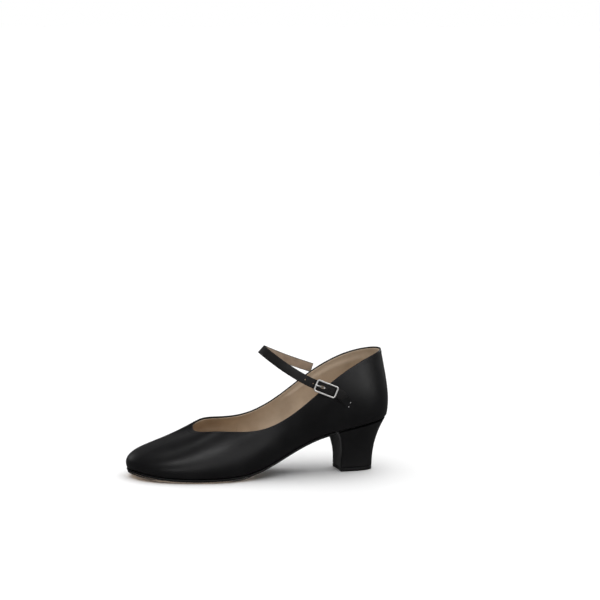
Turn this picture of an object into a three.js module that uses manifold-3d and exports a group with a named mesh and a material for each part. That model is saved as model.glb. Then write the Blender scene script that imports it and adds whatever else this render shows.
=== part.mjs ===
// A left character shoe for stage dance: a black leather court shoe with a buckled instep strap, a covered
// block heel and a leather forepart tread. Millimetres, +Z up, toe towards -X, buckle side towards -Y.
import * as THREE from "three";
import { mergeVertices } from "three/addons/utils/BufferGeometryUtils.js";
import Module from "manifold-3d";

const wasm = await Module();
wasm.setup();

// ---------------------------------------------------------------- driving dimensions
// Lengths along the shoe (u) run from the toe tip towards the heel; y is across, z is up from the floor.
const LENGTH = 244.7;
const TOE_TIP_U = -0.43; // the front end of the finished upper
const SIDE_SHIFT = 1.29; // centres the buckle's reach and the inner side's about y = 0
const GAP = 0.3; // between pieces that touch on the real shoe
const UPPER_THICK = 1.2;
const LINING_THICK = 0.8;
const STIFFENER_THICK = 0.9;
const LASTING_MARGIN = 10; // how far the upper turns in under the insole board
const BOARD_THICK = 2;
const BOARD_INSET = 3; // in from the line where the upper turns under, like the other insets
const SOCK_THICK = 0.8;
const SOCK_INSET = 5;
const PAD_THICK = 2.4;
const PAD_FROM = 196;
const PAD_LENGTH = 38;
const PAD_HALF_WIDTH = 17.5;
const SHANK_FROM = 122;
const SHANK_TO = 219;
const SHANK_HALF_WIDTH = 5.5;
const SHANK_LOW = 0.1; // above the sole plane
const OUTSOLE_THICK = 1.8;
const OUTSOLE_INSET = 0.6;
const TREAD_THICK = 1.4;
const TREAD_INSET = 1.4;
const TREAD_END = 120; // u of the tread's rounded rear end
const TREAD_TURN = 78; // where the rounding starts
const TREAD_HALF_WIDTH = 41;
const TREAD_CENTRE_Y = -1;
const LIFT_THICK = 3.2;
const HEEL_COVER_THICK = 1;
const SEAT_INSET = 0.9;
const BREAST_U = 196.6; // front of the heel at the floor
const HEEL_BACK_U = 229.8; // back of the heel at the floor
const HEEL_HALF_WIDTH = 13.5;
const HEEL_CENTRE_Y = -1.5;
const STRAP_WIDTH = 8.5;
const STRAP_THICK = 0.9;
const BACKING_THICK = 0.5;
const HOLE_PITCH = 8.2;
const HOLE_RADIUS = 0.8;
const ENGAGED_HOLE = 4.4; // from the buckle's bar, towards the toe
const HOLES_EACH_SIDE = 2;
const BUCKLE_LENGTH = 22.5; // over the end rails
const BUCKLE_WIDTH = 11.8;
const RAIL = 1.5; // width of the buckle's rails
const RAIL_THICK = 1.4;
const RAIL_CLEARANCE = 0.7; // over the strap
const BAR_RADIUS = 0.65;
const BAR_CLEARANCE = 0.2; // round the bar, inside the tab and the prong's curl
const TAB_LAYER = 0.6; // the tab is this leather folded double round the bar
const TAB_LENGTH = 31;
const TAIL_LENGTH = 21.8; // strap beyond the bar
const PRONG_WIDTH = 1.6;
const PRONG_THICK = 1;
const SLOT_WIDTH = PRONG_WIDTH + 0.8;
const SLOT_CENTRE = 2.8; // from the bar: the slot in the strap that the prong swings in
const SLOT_LENGTH = 5.4;

const V = (x, y, z) => new THREE.Vector3(x, y, z);
const clamp01 = (x) => Math.min(1, Math.max(0, x));
const smooth = (a, b, x) => THREE.MathUtils.smoothstep(x, a, b);

// ---------------------------------------------------------------- splines
// A uniform cubic B-spline through rows of numbers, at parameter p counted in spans.
function spline(points, p, closed) {
  const n = points.length;
  const k = closed ? Math.floor(p) : Math.min(Math.max(Math.floor(p), 0), n - 4);
  const f = p - k;
  const w = [(1 - f) ** 3, 3 * f ** 3 - 6 * f * f + 4, -3 * f ** 3 + 3 * f * f + 3 * f + 1, f ** 3];
  const first = closed ? k - 1 : k;
  return points[0].map((_, axis) =>
    w.reduce((sum, wi, i) => sum + (wi * points[(((first + i) % n) + n) % n][axis]) / 6, 0),
  );
}

// ---------------------------------------------------------------- the last: sole profile and upper surface
// Side profile of the plane where the upper meets the outsole, as B-spline controls of u and z.
const SOLE_PROFILE = [
  [-12.2, 11.48], [3.9, 7.93], [21.9, 5], [44.9, 3.7], [69.9, 3.83], [93.9, 4.65], [111.9, 7.57],
  [130.8, 15.46], [149.6, 25.25], [167.5, 33.42], [185.4, 38.99], [203.4, 42.46], [221.3, 46.64],
  [239.3, 49.91], [257.2, 52.58],
];
const PROFILE_STEPS = 240;
const PROFILE = Array.from({ length: PROFILE_STEPS + 1 }, (_, i) =>
  spline(SOLE_PROFILE, (i / PROFILE_STEPS) * (SOLE_PROFILE.length - 3), false),
);

function soleHeight(u) {
  let i = PROFILE.findIndex((p) => p[0] > u);
  if (i < 1) i = i === 0 ? 1 : PROFILE_STEPS;
  const [a, b] = [PROFILE[i - 1], PROFILE[i]];
  return a[1] + ((b[1] - a[1]) * (u - a[0])) / (b[0] - a[0]);
}
const soleSlope = (u) => Math.atan2(soleHeight(u + 2) - soleHeight(u - 2), 4);

// A point at u, y, raised by rise square to the sole plane.
const onSole = (u, y, rise) =>
  V(u - rise * Math.sin(soleSlope(u)), y, soleHeight(u) + rise * Math.cos(soleSlope(u)));

// Stations round the shoe from the toe tip, along the buckle side to the back of the heel, and back along the
// inner side. feather: u, y where the upper turns under; swell: how the wall leaves it; shoulder: where it
// leans in; top: the topline.
const STATIONS = [
  { feather: [-2.1, 7], swell: [-3.2, 0, 13], shoulder: [21, 7, 28.9], top: [60.6, 5, 41.2] },
  { feather: [1.9, -11], swell: [-3.2, -2, 13], shoulder: [23, -6, 28.8], top: [60.9, -6, 41.8] },
  { feather: [18.9, -27], swell: [-2.2, -3, 13], shoulder: [34.5, -18, 29.6], top: [63.8, -17, 43.3] },
  { feather: [49.9, -37.5], swell: [-2.2, -3, 13], shoulder: [58.5, -32, 33.5], top: [76.3, -26, 45.6] },
  { feather: [85.9, -41.5], swell: [-1.2, -3, 13], shoulder: [91.5, -38, 34.8], top: [96.3, -31, 44.2] },
  { feather: [121.8, -32], swell: [-0.2, -6, 12], shoulder: [123.5, -36, 35], top: [121.3, -33.5, 45.6] },
  { feather: [155.6, -24], swell: [-0.2, -7, 12], shoulder: [151.3, -33, 47.4], top: [149.1, -34, 61.3] },
  { feather: [189.4, -25], swell: [-0.2, -6, 16], shoulder: [180, -33, 69.8], top: [177.7, -32.5, 85.8] },
  { feather: [219.3, -27], swell: [0.7, -5, 18], shoulder: [209.7, -29, 84.3], top: [206.4, -27, 103.2] },
  { feather: [239.3, -19], swell: [2.7, -3, 18], shoulder: [234.6, -19, 90.6], top: [230.3, -17, 110.6] },
  { feather: [245.3, 0], swell: [3.7, 0, 18.1], shoulder: [243.6, 0, 92.8], top: [240.3, 0, 112.7] },
  { feather: [239.3, 19], swell: [2.7, 3, 18], shoulder: [234.6, 19, 90.6], top: [230.3, 17, 110.6] },
  { feather: [219.3, 26], swell: [0.7, 5, 18], shoulder: [209.7, 29, 84.3], top: [206.4, 27, 103.2] },
  { feather: [189.4, 23], swell: [-0.2, 7, 16], shoulder: [180, 33, 69.8], top: [177.7, 32.5, 85.8] },
  { feather: [155.6, 20], swell: [-0.2, 8, 12], shoulder: [151.3, 33, 47.4], top: [149.1, 33.5, 62.3] },
  { feather: [121.8, 26], swell: [-0.2, 7, 12], shoulder: [123.4, 34, 37.9], top: [121.3, 31, 48.9] },
  { feather: [85.9, 37.5], swell: [-0.2, 3, 14], shoulder: [91.4, 37, 37.5], top: [96.3, 27, 47.5] },
  { feather: [53.9, 41], swell: [-2.2, 3, 14], shoulder: [61.4, 33, 38], top: [75.2, 21, 50] },
  { feather: [23.9, 34], swell: [-2.2, 3, 14], shoulder: [36, 22, 31.4], top: [63.8, 15, 46.6] },
  { feather: [3.9, 23], swell: [-3.2, 2, 14], shoulder: [24, 15, 29.2], top: [61.5, 12, 42.6] },
];
const AROUND = STATIONS.length;
const HEEL_STATION = 10; // the station at the back of the heel
const CORNER_RISE = 2.6; // the wall starts this far above the sole plane, over a rounded turn

const FEATHER = STATIONS.map((s) => s.feather);
const SWELL = STATIONS.map((s) => s.swell);
const SHOULDER = STATIONS.map((s) => s.shoulder);
const TOP = STATIONS.map((s) => s.top);

// Outer face of the upper at station s (0 to AROUND) and height t (0 at the turn, 1 at the topline).
function wall(s, t) {
  const [u, y] = spline(FEATHER, s, true);
  const a = V(u, y, soleHeight(u) + CORNER_RISE);
  const b = a.clone().add(V(...spline(SWELL, s, true)));
  const c = V(...spline(SHOULDER, s, true));
  const d = V(...spline(TOP, s, true));
  return new THREE.CubicBezierCurve3(a, b, c, d).getPoint(t);
}

function wallNormal(s, t) {
  const step = 0.01;
  const [low, high] = [Math.max(0, t - step), Math.min(1, t + step)];
  const along = wall(s + step, t).sub(wall(s - step, t));
  return along.cross(wall(s, high).sub(wall(s, low))).normalize();
}
const inWall = (s, t, depth) => wall(s, t).addScaledVector(wallNormal(s, t), -depth);

// The feather line at station s, moved in by inset and raised by rise.
function margin(s, inset, rise) {
  const step = 0.01;
  const [u, y] = spline(FEATHER, s, true);
  const [u2, y2] = spline(FEATHER, s + step, true);
  const out = new THREE.Vector2(y2 - y, u - u2).normalize();
  return onSole(u - out.x * inset, y - out.y * inset, rise);
}

// ---------------------------------------------------------------- solids
function geometryOf(points, triangles) {
  const g = new THREE.BufferGeometry();
  g.setAttribute("position", new THREE.Float32BufferAttribute(points.flatMap((p) => p.toArray()), 3));
  g.setIndex(triangles.flat());
  return g;
}

// A closed skin from two grids of rows, outer and inner. wrap joins each row's last point to its first.
function shell(outer, inner, wrap) {
  const rows = outer.length;
  const cols = outer[0].length;
  const points = [...outer.flat(), ...inner.flat()];
  const at = (layer, r, c) => layer * rows * cols + r * cols + (c % cols);
  const tris = [];
  const quad = (a, b, c, d) => tris.push([a, b, c], [a, c, d]);
  const spans = wrap ? cols : cols - 1;
  for (let c = 0; c < spans; c++) {
    for (let r = 0; r < rows - 1; r++) {
      quad(at(0, r, c), at(0, r, c + 1), at(0, r + 1, c + 1), at(0, r + 1, c));
      quad(at(1, r, c), at(1, r + 1, c), at(1, r + 1, c + 1), at(1, r, c + 1));
    }
    quad(at(1, 0, c), at(1, 0, c + 1), at(0, 0, c + 1), at(0, 0, c));
    quad(at(0, rows - 1, c), at(0, rows - 1, c + 1), at(1, rows - 1, c + 1), at(1, rows - 1, c));
  }
  if (!wrap)
    for (let r = 0; r < rows - 1; r++) {
      quad(at(0, r, 0), at(0, r + 1, 0), at(1, r + 1, 0), at(1, r, 0));
      quad(at(0, r, cols - 1), at(1, r, cols - 1), at(1, r + 1, cols - 1), at(0, r + 1, cols - 1));
    }
  return geometryOf(points, tris);
}

// A solid through rings of equal length, each ring turning anticlockwise seen from the side that the rings
// advance towards.
function loft(rings) {
  const n = rings[0].length;
  const tris = [];
  for (let r = 0; r < rings.length - 1; r++)
    for (let i = 0; i < n; i++) {
      const [a, b] = [r * n + i, r * n + ((i + 1) % n)];
      tris.push([a, b, b + n], [a, b + n, a + n]);
    }
  const last = (rings.length - 1) * n;
  const flat = (ring) => {
    const normal = V(0, 0, 0);
    ring.forEach((p, i) => normal.add(p.clone().cross(ring[(i + 1) % n])));
    normal.normalize();
    const right = ring[1].clone().sub(ring[0]).normalize();
    const up = normal.clone().cross(right);
    return ring.map((p) => new THREE.Vector2(p.dot(right), p.dot(up)));
  };
  THREE.ShapeUtils.triangulateShape(flat(rings[0]), []).forEach(([a, b, c]) => tris.push([c, b, a]));
  THREE.ShapeUtils.triangulateShape(flat(rings.at(-1)), []).forEach(([a, b, c]) =>
    tris.push([last + a, last + b, last + c]),
  );
  return geometryOf(rings.flat(), tris);
}

function toSolid(geometry, matrix = new THREE.Matrix4()) {
  const g = new THREE.BufferGeometry();
  const flat = geometry.index ? geometry.toNonIndexed() : geometry;
  g.setAttribute("position", flat.getAttribute("position").clone());
  g.applyMatrix4(matrix);
  const merged = mergeVertices(g, 1e-4);
  return new wasm.Manifold(
    new wasm.Mesh({
      numProp: 3,
      vertProperties: new Float32Array(merged.attributes.position.array),
      triVerts: new Uint32Array(merged.index.array),
    }),
  );
}

function toGeometry(solid) {
  const { vertProperties, triVerts } = solid.getMesh();
  const g = new THREE.BufferGeometry();
  g.setAttribute("position", new THREE.BufferAttribute(new Float32Array(vertProperties), 3));
  g.setIndex(new THREE.BufferAttribute(new Uint32Array(triVerts), 1));
  return g;
}

const cut = (geometry, cutters) =>
  toGeometry(cutters.reduce((solid, c) => solid.subtract(c), toSolid(geometry)));

// ---------------------------------------------------------------- scene graph and materials
const shoe = new THREE.Group();
shoe.position.set(-(TOE_TIP_U + LENGTH / 2), SIDE_SHIFT, 0);

const leather = (color, roughness) => new THREE.MeshStandardMaterial({ color, roughness, metalness: 0 });
const BLACK_LEATHER = leather(0x1c1c1e, 0.42);
const HEEL_LEATHER = leather(0x1e1e20, 0.45);
const BLACK_SOLE = leather(0x17171a, 0.5);
const TAN_LEATHER = leather(0xdfc4a6, 0.8);
const LINING_LEATHER = leather(0xc9a987, 0.7);
const STIFFENER = leather(0xcfc7b8, 0.9);
const BOARD = leather(0xa8835a, 0.9);
const FOAM = leather(0xd8d2c4, 0.95);
const CORK = leather(0xb48a5c, 0.95);
const PLASTIC = leather(0x2a2a2c, 0.5);
const STEEL = new THREE.MeshStandardMaterial({ color: 0x9a9da1, roughness: 0.35, metalness: 1 });
const NICKEL = new THREE.MeshStandardMaterial({ color: 0xc9c6c0, roughness: 0.22, metalness: 1 });

function add(name, geometry, material) {
  const mesh = new THREE.Mesh(geometry, material);
  mesh.name = name;
  shoe.add(mesh);
  return mesh;
}

const range = (n, from, to) => Array.from({ length: n + 1 }, (_, i) => from + ((to - from) * i) / n);

// ---------------------------------------------------------------- upper, stiffeners and linings
const COLUMNS = 3 * AROUND;
const ALL_AROUND = range(COLUMNS, 0, AROUND).slice(0, -1);
const WALL_ROWS = 8;
const STIFF_DEPTH = UPPER_THICK + GAP;
const LINING_FLAT = UPPER_THICK + GAP;
const LINING_OVER_STIFFENER = STIFF_DEPTH + STIFFENER_THICK + GAP;

function makeUpper() {
  const turned = (depth) => [
    ALL_AROUND.map((s) => margin(s, LASTING_MARGIN, depth)),
    ALL_AROUND.map((s) => margin(s, 3, depth)),
    ALL_AROUND.map((s) => margin(s, 0.8 + depth, 0.8 + 0.75 * depth)),
    ...range(WALL_ROWS, 0, 1).map((t) => ALL_AROUND.map((s) => inWall(s, t, depth))),
  ];
  add("upper", shell(turned(0), turned(UPPER_THICK), true), BLACK_LEATHER);
}

// Toe puff and heel counter, between the upper and its lining. Both are set out by station and height.
const PUFF = { from: -3.6, to: 3.6, low: 0.07, high: 0.62 };
const COUNTER = { from: 6.6, to: 13.4, low: 0.07, high: 0.82 };
const STIFFENER_FADE = 0.7; // in stations: how far past a stiffener the lining takes to settle back

// The upper's own grid lines between two limits, and the limits themselves, so facets stay parallel between
// layers.
function gridLines(from, to, step) {
  const lines = range(Math.round(AROUND / step) * 2, -AROUND, AROUND);
  return [from, ...lines.filter((v) => v > from + 0.02 && v < to - 0.02), to];
}

function patch(area, depth, thick) {
  const columns = gridLines(area.from, area.to, AROUND / COLUMNS);
  const rows = gridLines(area.low, area.high, 1 / WALL_ROWS);
  const grid = (extra) => rows.map((t) => columns.map((s) => inWall(s, t, depth(s, t) + extra)));
  return shell(grid(0), grid(thick), false);
}

// How much the lining stands in at s, t to clear a stiffener.
function stiffenerCover(area, s, t) {
  const sides = Math.min(s - area.from, area.to - s) / STIFFENER_FADE;
  const above = (area.high - t) / 0.12;
  return smooth(-1, -0.12, sides) * smooth(-1, -0.15, above);
}

function liningDepth(s, t) {
  const near = s > AROUND / 2 + 5 ? s - AROUND : s;
  const cover = Math.max(stiffenerCover(PUFF, near, t), stiffenerCover(COUNTER, s, t));
  return LINING_FLAT + (LINING_OVER_STIFFENER - LINING_FLAT) * cover;
}

function makeStiffenersAndLinings() {
  add("toe_puff", patch(PUFF, () => STIFF_DEPTH, STIFFENER_THICK), STIFFENER);
  add("heel_counter", patch(COUNTER, () => STIFF_DEPTH, STIFFENER_THICK), STIFFENER);
  const seam = 0.02; // half the gap between the two linings, in stations
  const vamp = { from: -4.6, to: 4.6 - seam, low: 0.1, high: 0.985 };
  const quarters = { from: 4.6 + seam, to: AROUND - 4.6 - seam, low: 0.1, high: 0.985 };
  add("vamp_lining", patch(vamp, liningDepth, LINING_THICK), LINING_LEATHER);
  add("quarter_lining", patch(quarters, liningDepth, LINING_THICK), LINING_LEATHER);
}

// ---------------------------------------------------------------- bottom: plates that follow the sole plane
// A plate between the two sides of the feather line moved in by inset, from low to high over the sole plane.
function plate(inset, low, high, from = 0.25, to = HEEL_STATION - 0.25, count = 30) {
  const rings = range(count, from, to).map((s) => {
    const [outer, inner] = [s, AROUND - s];
    return [
      margin(outer, inset, low), margin(inner, inset, low),
      margin(inner, inset, high), margin(outer, inset, high),
    ];
  });
  return loft(rings);
}

// A straight strip of half width along the sole plane.
const strip = (half, low, high, from, to, count) =>
  loft(
    range(count, from, to).map((u) => [
      onSole(u, -half, low), onSole(u, half, low), onSole(u, half, high), onSole(u, -half, high),
    ]),
  );

const BOARD_LOW = UPPER_THICK + GAP;
const BOARD_HIGH = BOARD_LOW + BOARD_THICK;
const HEAD_THICK = 0.5;
const SOCK_LOW = BOARD_HIGH + HEAD_THICK + 2 * GAP;

// Fasteners stand square to the sole plane at u, y. Each is a head on a shaft that reaches down by depth.
const SHANK_RIVETS = [126, 176];
const HEEL_NAILS = [[203, -10], [203, 10], [221, -9], [221, 9]];
const HEEL_SCREW_U = 212;

function fastenerAt(u, y) {
  const place = onSole(u, y, BOARD_HIGH + GAP / 2);
  return new THREE.Matrix4().makeRotationY(-soleSlope(u)).setPosition(place);
}

function fastener(headRadius, shaftRadius, depth, sides) {
  const profile = [[0, -depth], [shaftRadius, -depth + shaftRadius], [shaftRadius, 0], [headRadius, 0]];
  profile.push([headRadius * 0.8, HEAD_THICK], [0, HEAD_THICK]);
  const g = new THREE.LatheGeometry(profile.map(([r, z]) => new THREE.Vector2(r, z)), sides);
  return g.rotateX(Math.PI / 2);
}

function clearance(radius, depth, matrix) {
  const g = new THREE.CylinderGeometry(radius, radius, depth + 10, 12).rotateX(Math.PI / 2);
  return toSolid(g, matrix.clone().multiply(new THREE.Matrix4().makeTranslation(0, 0, -depth / 2)));
}

const FASTENERS = [
  ...SHANK_RIVETS.map((u, i) => ({ name: `shank_rivet_${i + 1}`, u, y: 0, head: 3, shaft: 1.4, depth: 3.3 })),
  ...HEEL_NAILS.map(([u, y], i) => ({ name: `heel_nail_${i + 1}`, u, y, head: 2.4, shaft: 1, depth: 16 })),
  { name: "heel_screw", u: HEEL_SCREW_U, y: 0, head: 4, shaft: 2, depth: 26 },
];
const CLEARANCES = FASTENERS.map((f) => clearance(f.shaft + GAP, f.depth, fastenerAt(f.u, f.y)));

function makeFasteners() {
  for (const f of FASTENERS) {
    const mesh = add(f.name, fastener(f.head, f.shaft, f.depth, 10), STEEL);
    mesh.position.copy(onSole(f.u, f.y, BOARD_HIGH + GAP / 2));
    mesh.rotation.y = -soleSlope(f.u);
  }
}

function makeInside() {
  add("insole_board", cut(plate(BOARD_INSET, BOARD_LOW, BOARD_HIGH), CLEARANCES), BOARD);
  const shank = strip(SHANK_HALF_WIDTH, SHANK_LOW, UPPER_THICK, SHANK_FROM, SHANK_TO, 18);
  add("shank", cut(shank, CLEARANCES), STEEL);
  add("forepart_filler", plate(LASTING_MARGIN + GAP, 0, UPPER_THICK, 0.9, 4.9, 14), CORK);
  const sock = plate(SOCK_INSET, SOCK_LOW, SOCK_LOW + SOCK_THICK, 0.3, HEEL_STATION - 0.25, 30);
  add("sock_lining", sock, LINING_LEATHER);
}

// The heel pad lies on the sock as a low domed cushion.
function makeHeelPad() {
  const low = SOCK_LOW + SOCK_THICK + GAP;
  const rings = range(10, 0, 1).map((k) => {
    const u = PAD_FROM + PAD_LENGTH * k;
    const half = PAD_HALF_WIDTH * Math.sqrt(Math.max(0.06, 1 - (2 * k - 1) ** 4));
    const high = low + PAD_THICK * (0.45 + 0.55 * Math.sin(Math.PI * k));
    const halfAbove = half * 0.85;
    return [
      onSole(u, -half, low), onSole(u, half, low),
      onSole(u, halfAbove, high), onSole(u, -halfAbove, high),
    ];
  });
  add("heel_pad", loft(rings), FOAM);
}

// ---------------------------------------------------------------- heel
const SEAT_DROP = -GAP; // the heel's top lies just under the sole plane
const HEEL_SIDE_POINTS = 22; // from the outer breast corner round the back to the inner one
const BREAST_POINTS = 6;
const SEAT_FROM = 7; // station of the outer breast corner
const BREAST_HOLLOW = 3.5; // how far the breast's top is scooped back between its corners
const BACK_SWEEP = 2.2; // exponent of the hollow curve down the back and sides
const BREAST_SWEEP = 7;

// Seat outline, floor outline and sweep exponent at each point round the heel.
function heelFibres() {
  const sides = range(HEEL_SIDE_POINTS, 0, 1).map((q) => {
    const seat = margin(SEAT_FROM + (AROUND - 2 * SEAT_FROM) * q, SEAT_INSET, SEAT_DROP);
    const turn = Math.PI * q;
    const across = -Math.sign(Math.cos(turn)) * Math.abs(Math.cos(turn)) ** 0.7;
    const floor = V(
      BREAST_U + (HEEL_BACK_U - BREAST_U) * Math.sin(turn) ** 0.75,
      HEEL_CENTRE_Y + HEEL_HALF_WIDTH * across,
      LIFT_THICK + GAP,
    );
    return { seat, floor, sweep: BACK_SWEEP };
  });
  const [outer, inner] = [sides[0], sides.at(-1)];
  const breast = range(BREAST_POINTS, 0, 1).slice(1, -1).map((q) => {
    const line = inner.seat.clone().lerp(outer.seat, q);
    const u = line.x + BREAST_HOLLOW * Math.sin(Math.PI * q);
    const floor = inner.floor.clone().lerp(outer.floor, q);
    floor.x += 0.8 * Math.sin(Math.PI * q);
    return { seat: onSole(u, line.y, SEAT_DROP), floor, sweep: BREAST_SWEEP };
  });
  return [...sides, ...breast];
}
const FIBRES = heelFibres();

// The heel's outline at height w (0 at the floor end, 1 at the seat), moved in by inset.
function heelRing(w, inset) {
  const ring = FIBRES.map(({ seat, floor, sweep }) => {
    const k = w ** sweep;
    return V(
      floor.x + (seat.x - floor.x) * k,
      floor.y + (seat.y - floor.y) * k,
      floor.z + (seat.z - floor.z) * w,
    );
  });
  return ring.map((p, i) => {
    const ahead = ring[(i + 1) % ring.length];
    const behind = ring[(i + ring.length - 1) % ring.length];
    const out = new THREE.Vector2(ahead.y - behind.y, behind.x - ahead.x).normalize();
    return V(p.x - out.x * inset, p.y - out.y * inset, p.z);
  });
}
const HEEL_LEVELS = [0, 0.22, 0.42, 0.6, 0.76, 0.89, 1];
const LIFT_PINS = [[204, -8], [204, 5], [219, -1.5]];
const PIN_RADIUS = 1.2;
const PIN_LENGTH = 14;
const PIN_FOOT = 1.2; // the pins stop this far above the floor

function makeHeel() {
  const cover = (inset) => HEEL_LEVELS.map((w) => heelRing(w, inset));
  add("heel_cover", shell(cover(0), cover(HEEL_COVER_THICK), true), HEEL_LEATHER);
  const pinHoles = LIFT_PINS.map(([u, y]) => {
    const hole = new THREE.CylinderGeometry(PIN_RADIUS + GAP, PIN_RADIUS + GAP, PIN_LENGTH + 2 * GAP, 10);
    return toSolid(hole.rotateX(Math.PI / 2).translate(u, y, PIN_FOOT + PIN_LENGTH / 2));
  });
  const block = loft(HEEL_LEVELS.map((w) => heelRing(w, HEEL_COVER_THICK + GAP)));
  add("heel_block", cut(block, [...CLEARANCES.slice(SHANK_RIVETS.length), ...pinHoles]), PLASTIC);
  const liftRing = (z) => heelRing(0, 0.2).map((p) => V(p.x, p.y, z));
  add("top_lift", cut(loft([liftRing(0), liftRing(LIFT_THICK)]), pinHoles), TAN_LEATHER);
  LIFT_PINS.forEach(([u, y], i) => {
    const pin = new THREE.CylinderGeometry(PIN_RADIUS, PIN_RADIUS, PIN_LENGTH, 10).rotateX(Math.PI / 2);
    const mesh = add(`lift_pin_${i + 1}`, pin, STEEL);
    mesh.position.set(u, y, PIN_FOOT + PIN_LENGTH / 2);
  });
}

// ---------------------------------------------------------------- outsole and tread
// The outsole ends in front of the heel, along the scooped line of the breast.
function makeOutsole() {
  const across = FIBRES.slice(HEEL_SIDE_POINTS);
  const breast = across.map(({ seat }) => new THREE.Vector2(seat.x - 3 * GAP, seat.y));
  breast.push(new THREE.Vector2(FIBRES[0].seat.x - 3 * GAP, FIBRES[0].seat.y));
  const behind = [new THREE.Vector2(300, 60), new THREE.Vector2(breast[0].x, 60), ...breast];
  behind.push(new THREE.Vector2(breast.at(-1).x, -60), new THREE.Vector2(300, -60));
  const cutter = new THREE.ExtrudeGeometry(new THREE.Shape(behind), { depth: 60, bevelEnabled: false });
  const sole = plate(OUTSOLE_INSET, -GAP - OUTSOLE_THICK, -GAP, 0.2, 7.75, 30);
  add("outsole", cut(sole, [toSolid(cutter)]), BLACK_SOLE);
}

function makeTread() {
  const under = -2 * GAP - OUTSOLE_THICK;
  const full = toSolid(plate(TREAD_INSET, under - TREAD_THICK, under, 0.25, 6, 26));
  const outline = new THREE.Shape();
  outline.moveTo(-20, -TREAD_HALF_WIDTH + TREAD_CENTRE_Y);
  outline.lineTo(TREAD_TURN, -TREAD_HALF_WIDTH + TREAD_CENTRE_Y);
  const quarterTurn = Math.PI / 2;
  outline.absellipse(
    TREAD_TURN, TREAD_CENTRE_Y, TREAD_END - TREAD_TURN, TREAD_HALF_WIDTH, -quarterTurn, quarterTurn, false,
  );
  outline.lineTo(-20, TREAD_HALF_WIDTH + TREAD_CENTRE_Y);
  const rounded = new THREE.ExtrudeGeometry(outline, { depth: 60, bevelEnabled: false, curveSegments: 16 });
  add("forepart_tread", toGeometry(full.intersect(toSolid(rounded.translate(0, 0, -20)))), TAN_LEATHER);
}

// ---------------------------------------------------------------- strap
// Inner face of the strap from its tail, over the instep, to the root on the inner side: u, y, z as B-spline
// controls, each with the direction across the strap to its front edge.
const STRAP_LINE = [
  [212, -33.8, 66.3, -0.34, 0.05, -0.95],
  [200.9, -34.8, 71.3, -0.34, 0.05, -0.95],
  [186.8, -36.4, 77.5, -0.36, 0, -0.94],
  [172.7, -37.2, 83.5, -0.37, 0, -0.94],
  [160.2, -36.8, 88.5, -0.39, 0, -0.92],
  [148.1, -34.5, 95.1, -0.47, 0, -0.89],
  [135.4, -26, 103.3, -0.61, 0, -0.79],
  [125.8, -11, 111.2, -0.69, 0, -0.72],
  [124.3, 4, 113.5, -0.69, 0, -0.72],
  [129.3, 18, 110.5, -0.65, 0, -0.76],
  [141.4, 28.5, 104.7, -0.49, 0, -0.87],
  [156.5, 34.2, 98, -0.39, 0, -0.92],
  [171.6, 35, 92.5, -0.36, 0, -0.94],
  [182.7, 33.8, 88.7, -0.35, 0, -0.95],
  [193.7, 32, 85, -0.35, 0, -0.95],
];
const STRAP_BAR_PARAMETER = 2; // where the line passes over the buckle's bar
const STRAP_LAYER_GAP = 0.2;
const STRAP_STEPS = 480;
const STRAP_SPANS = STRAP_LINE.length - 3;

const strapPoint = (p) => V(...spline(STRAP_LINE, p, false).slice(0, 3));
const strapLengths = [0];
for (let i = 1; i <= STRAP_STEPS; i++) {
  const [a, b] = [i - 1, i].map((k) => strapPoint((k / STRAP_STEPS) * STRAP_SPANS));
  strapLengths.push(strapLengths[i - 1] + a.distanceTo(b));
}
const BAR_STATION = strapLengths[Math.round((STRAP_BAR_PARAMETER / STRAP_SPANS) * STRAP_STEPS)];
const STRAP_FREE_LENGTH = strapLengths.at(-1) - BAR_STATION;

// Axes at a length from the bar, positive towards the root: X along the strap, Y to its front edge, Z
// outwards.
function strapFrame(distance) {
  const wanted = distance + BAR_STATION;
  let i = strapLengths.findIndex((l) => l > wanted);
  if (i < 1) i = i === 0 ? 1 : STRAP_STEPS;
  const f = clamp01((wanted - strapLengths[i - 1]) / (strapLengths[i] - strapLengths[i - 1]));
  const p = ((i - 1 + f) / STRAP_STEPS) * STRAP_SPANS;
  const step = 0.02;
  const [low, high] = [Math.max(0, p - step), Math.min(STRAP_SPANS - 1e-6, p + step)];
  const along = strapPoint(high).sub(strapPoint(low)).normalize();
  const width = V(...spline(STRAP_LINE, p, false).slice(3));
  width.addScaledVector(along, -width.dot(along)).normalize();
  const out = along.clone().cross(width);
  return new THREE.Matrix4().makeBasis(along, width, out).setPosition(strapPoint(p));
}
const TAB_OVER_BAR = BAR_RADIUS + BAR_CLEARANCE + TAB_LAYER;
const STRAP_OVER_BAR = TAB_OVER_BAR + 0.25;
const BUCKLE_FRAME = strapFrame(0).multiply(new THREE.Matrix4().makeTranslation(0, 0, -STRAP_OVER_BAR));

function strapBand(low, high, width, from, to, count) {
  const rings = range(count, 0, 1).map((q) => {
    const d = from + (to - from) * q ** 0.9;
    const past = clamp01(1 - (d + TAIL_LENGTH) / (width / 2));
    const half = Math.max(0.8, (width / 2) * Math.sqrt(1 - past * past));
    const corners = [[-half, low], [half, low], [half, high], [-half, high]];
    return corners.map(([y, z]) => V(0, y, z).applyMatrix4(strapFrame(d)));
  });
  return loft(rings);
}

// Cylinders through the strap at its punched holes, and the slot the prong swings in.
function strapHoles() {
  const cutters = [];
  for (let k = -HOLES_EACH_SIDE; k <= HOLES_EACH_SIDE; k++) {
    const hole = new THREE.CylinderGeometry(HOLE_RADIUS, HOLE_RADIUS, 8, 10).rotateX(Math.PI / 2);
    if (k !== 0) cutters.push(toSolid(hole, strapFrame(ENGAGED_HOLE + k * HOLE_PITCH)));
  }
  const slot = new THREE.BoxGeometry(SLOT_LENGTH, SLOT_WIDTH, 8);
  return [...cutters, toSolid(slot, strapFrame(SLOT_CENTRE))];
}

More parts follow.
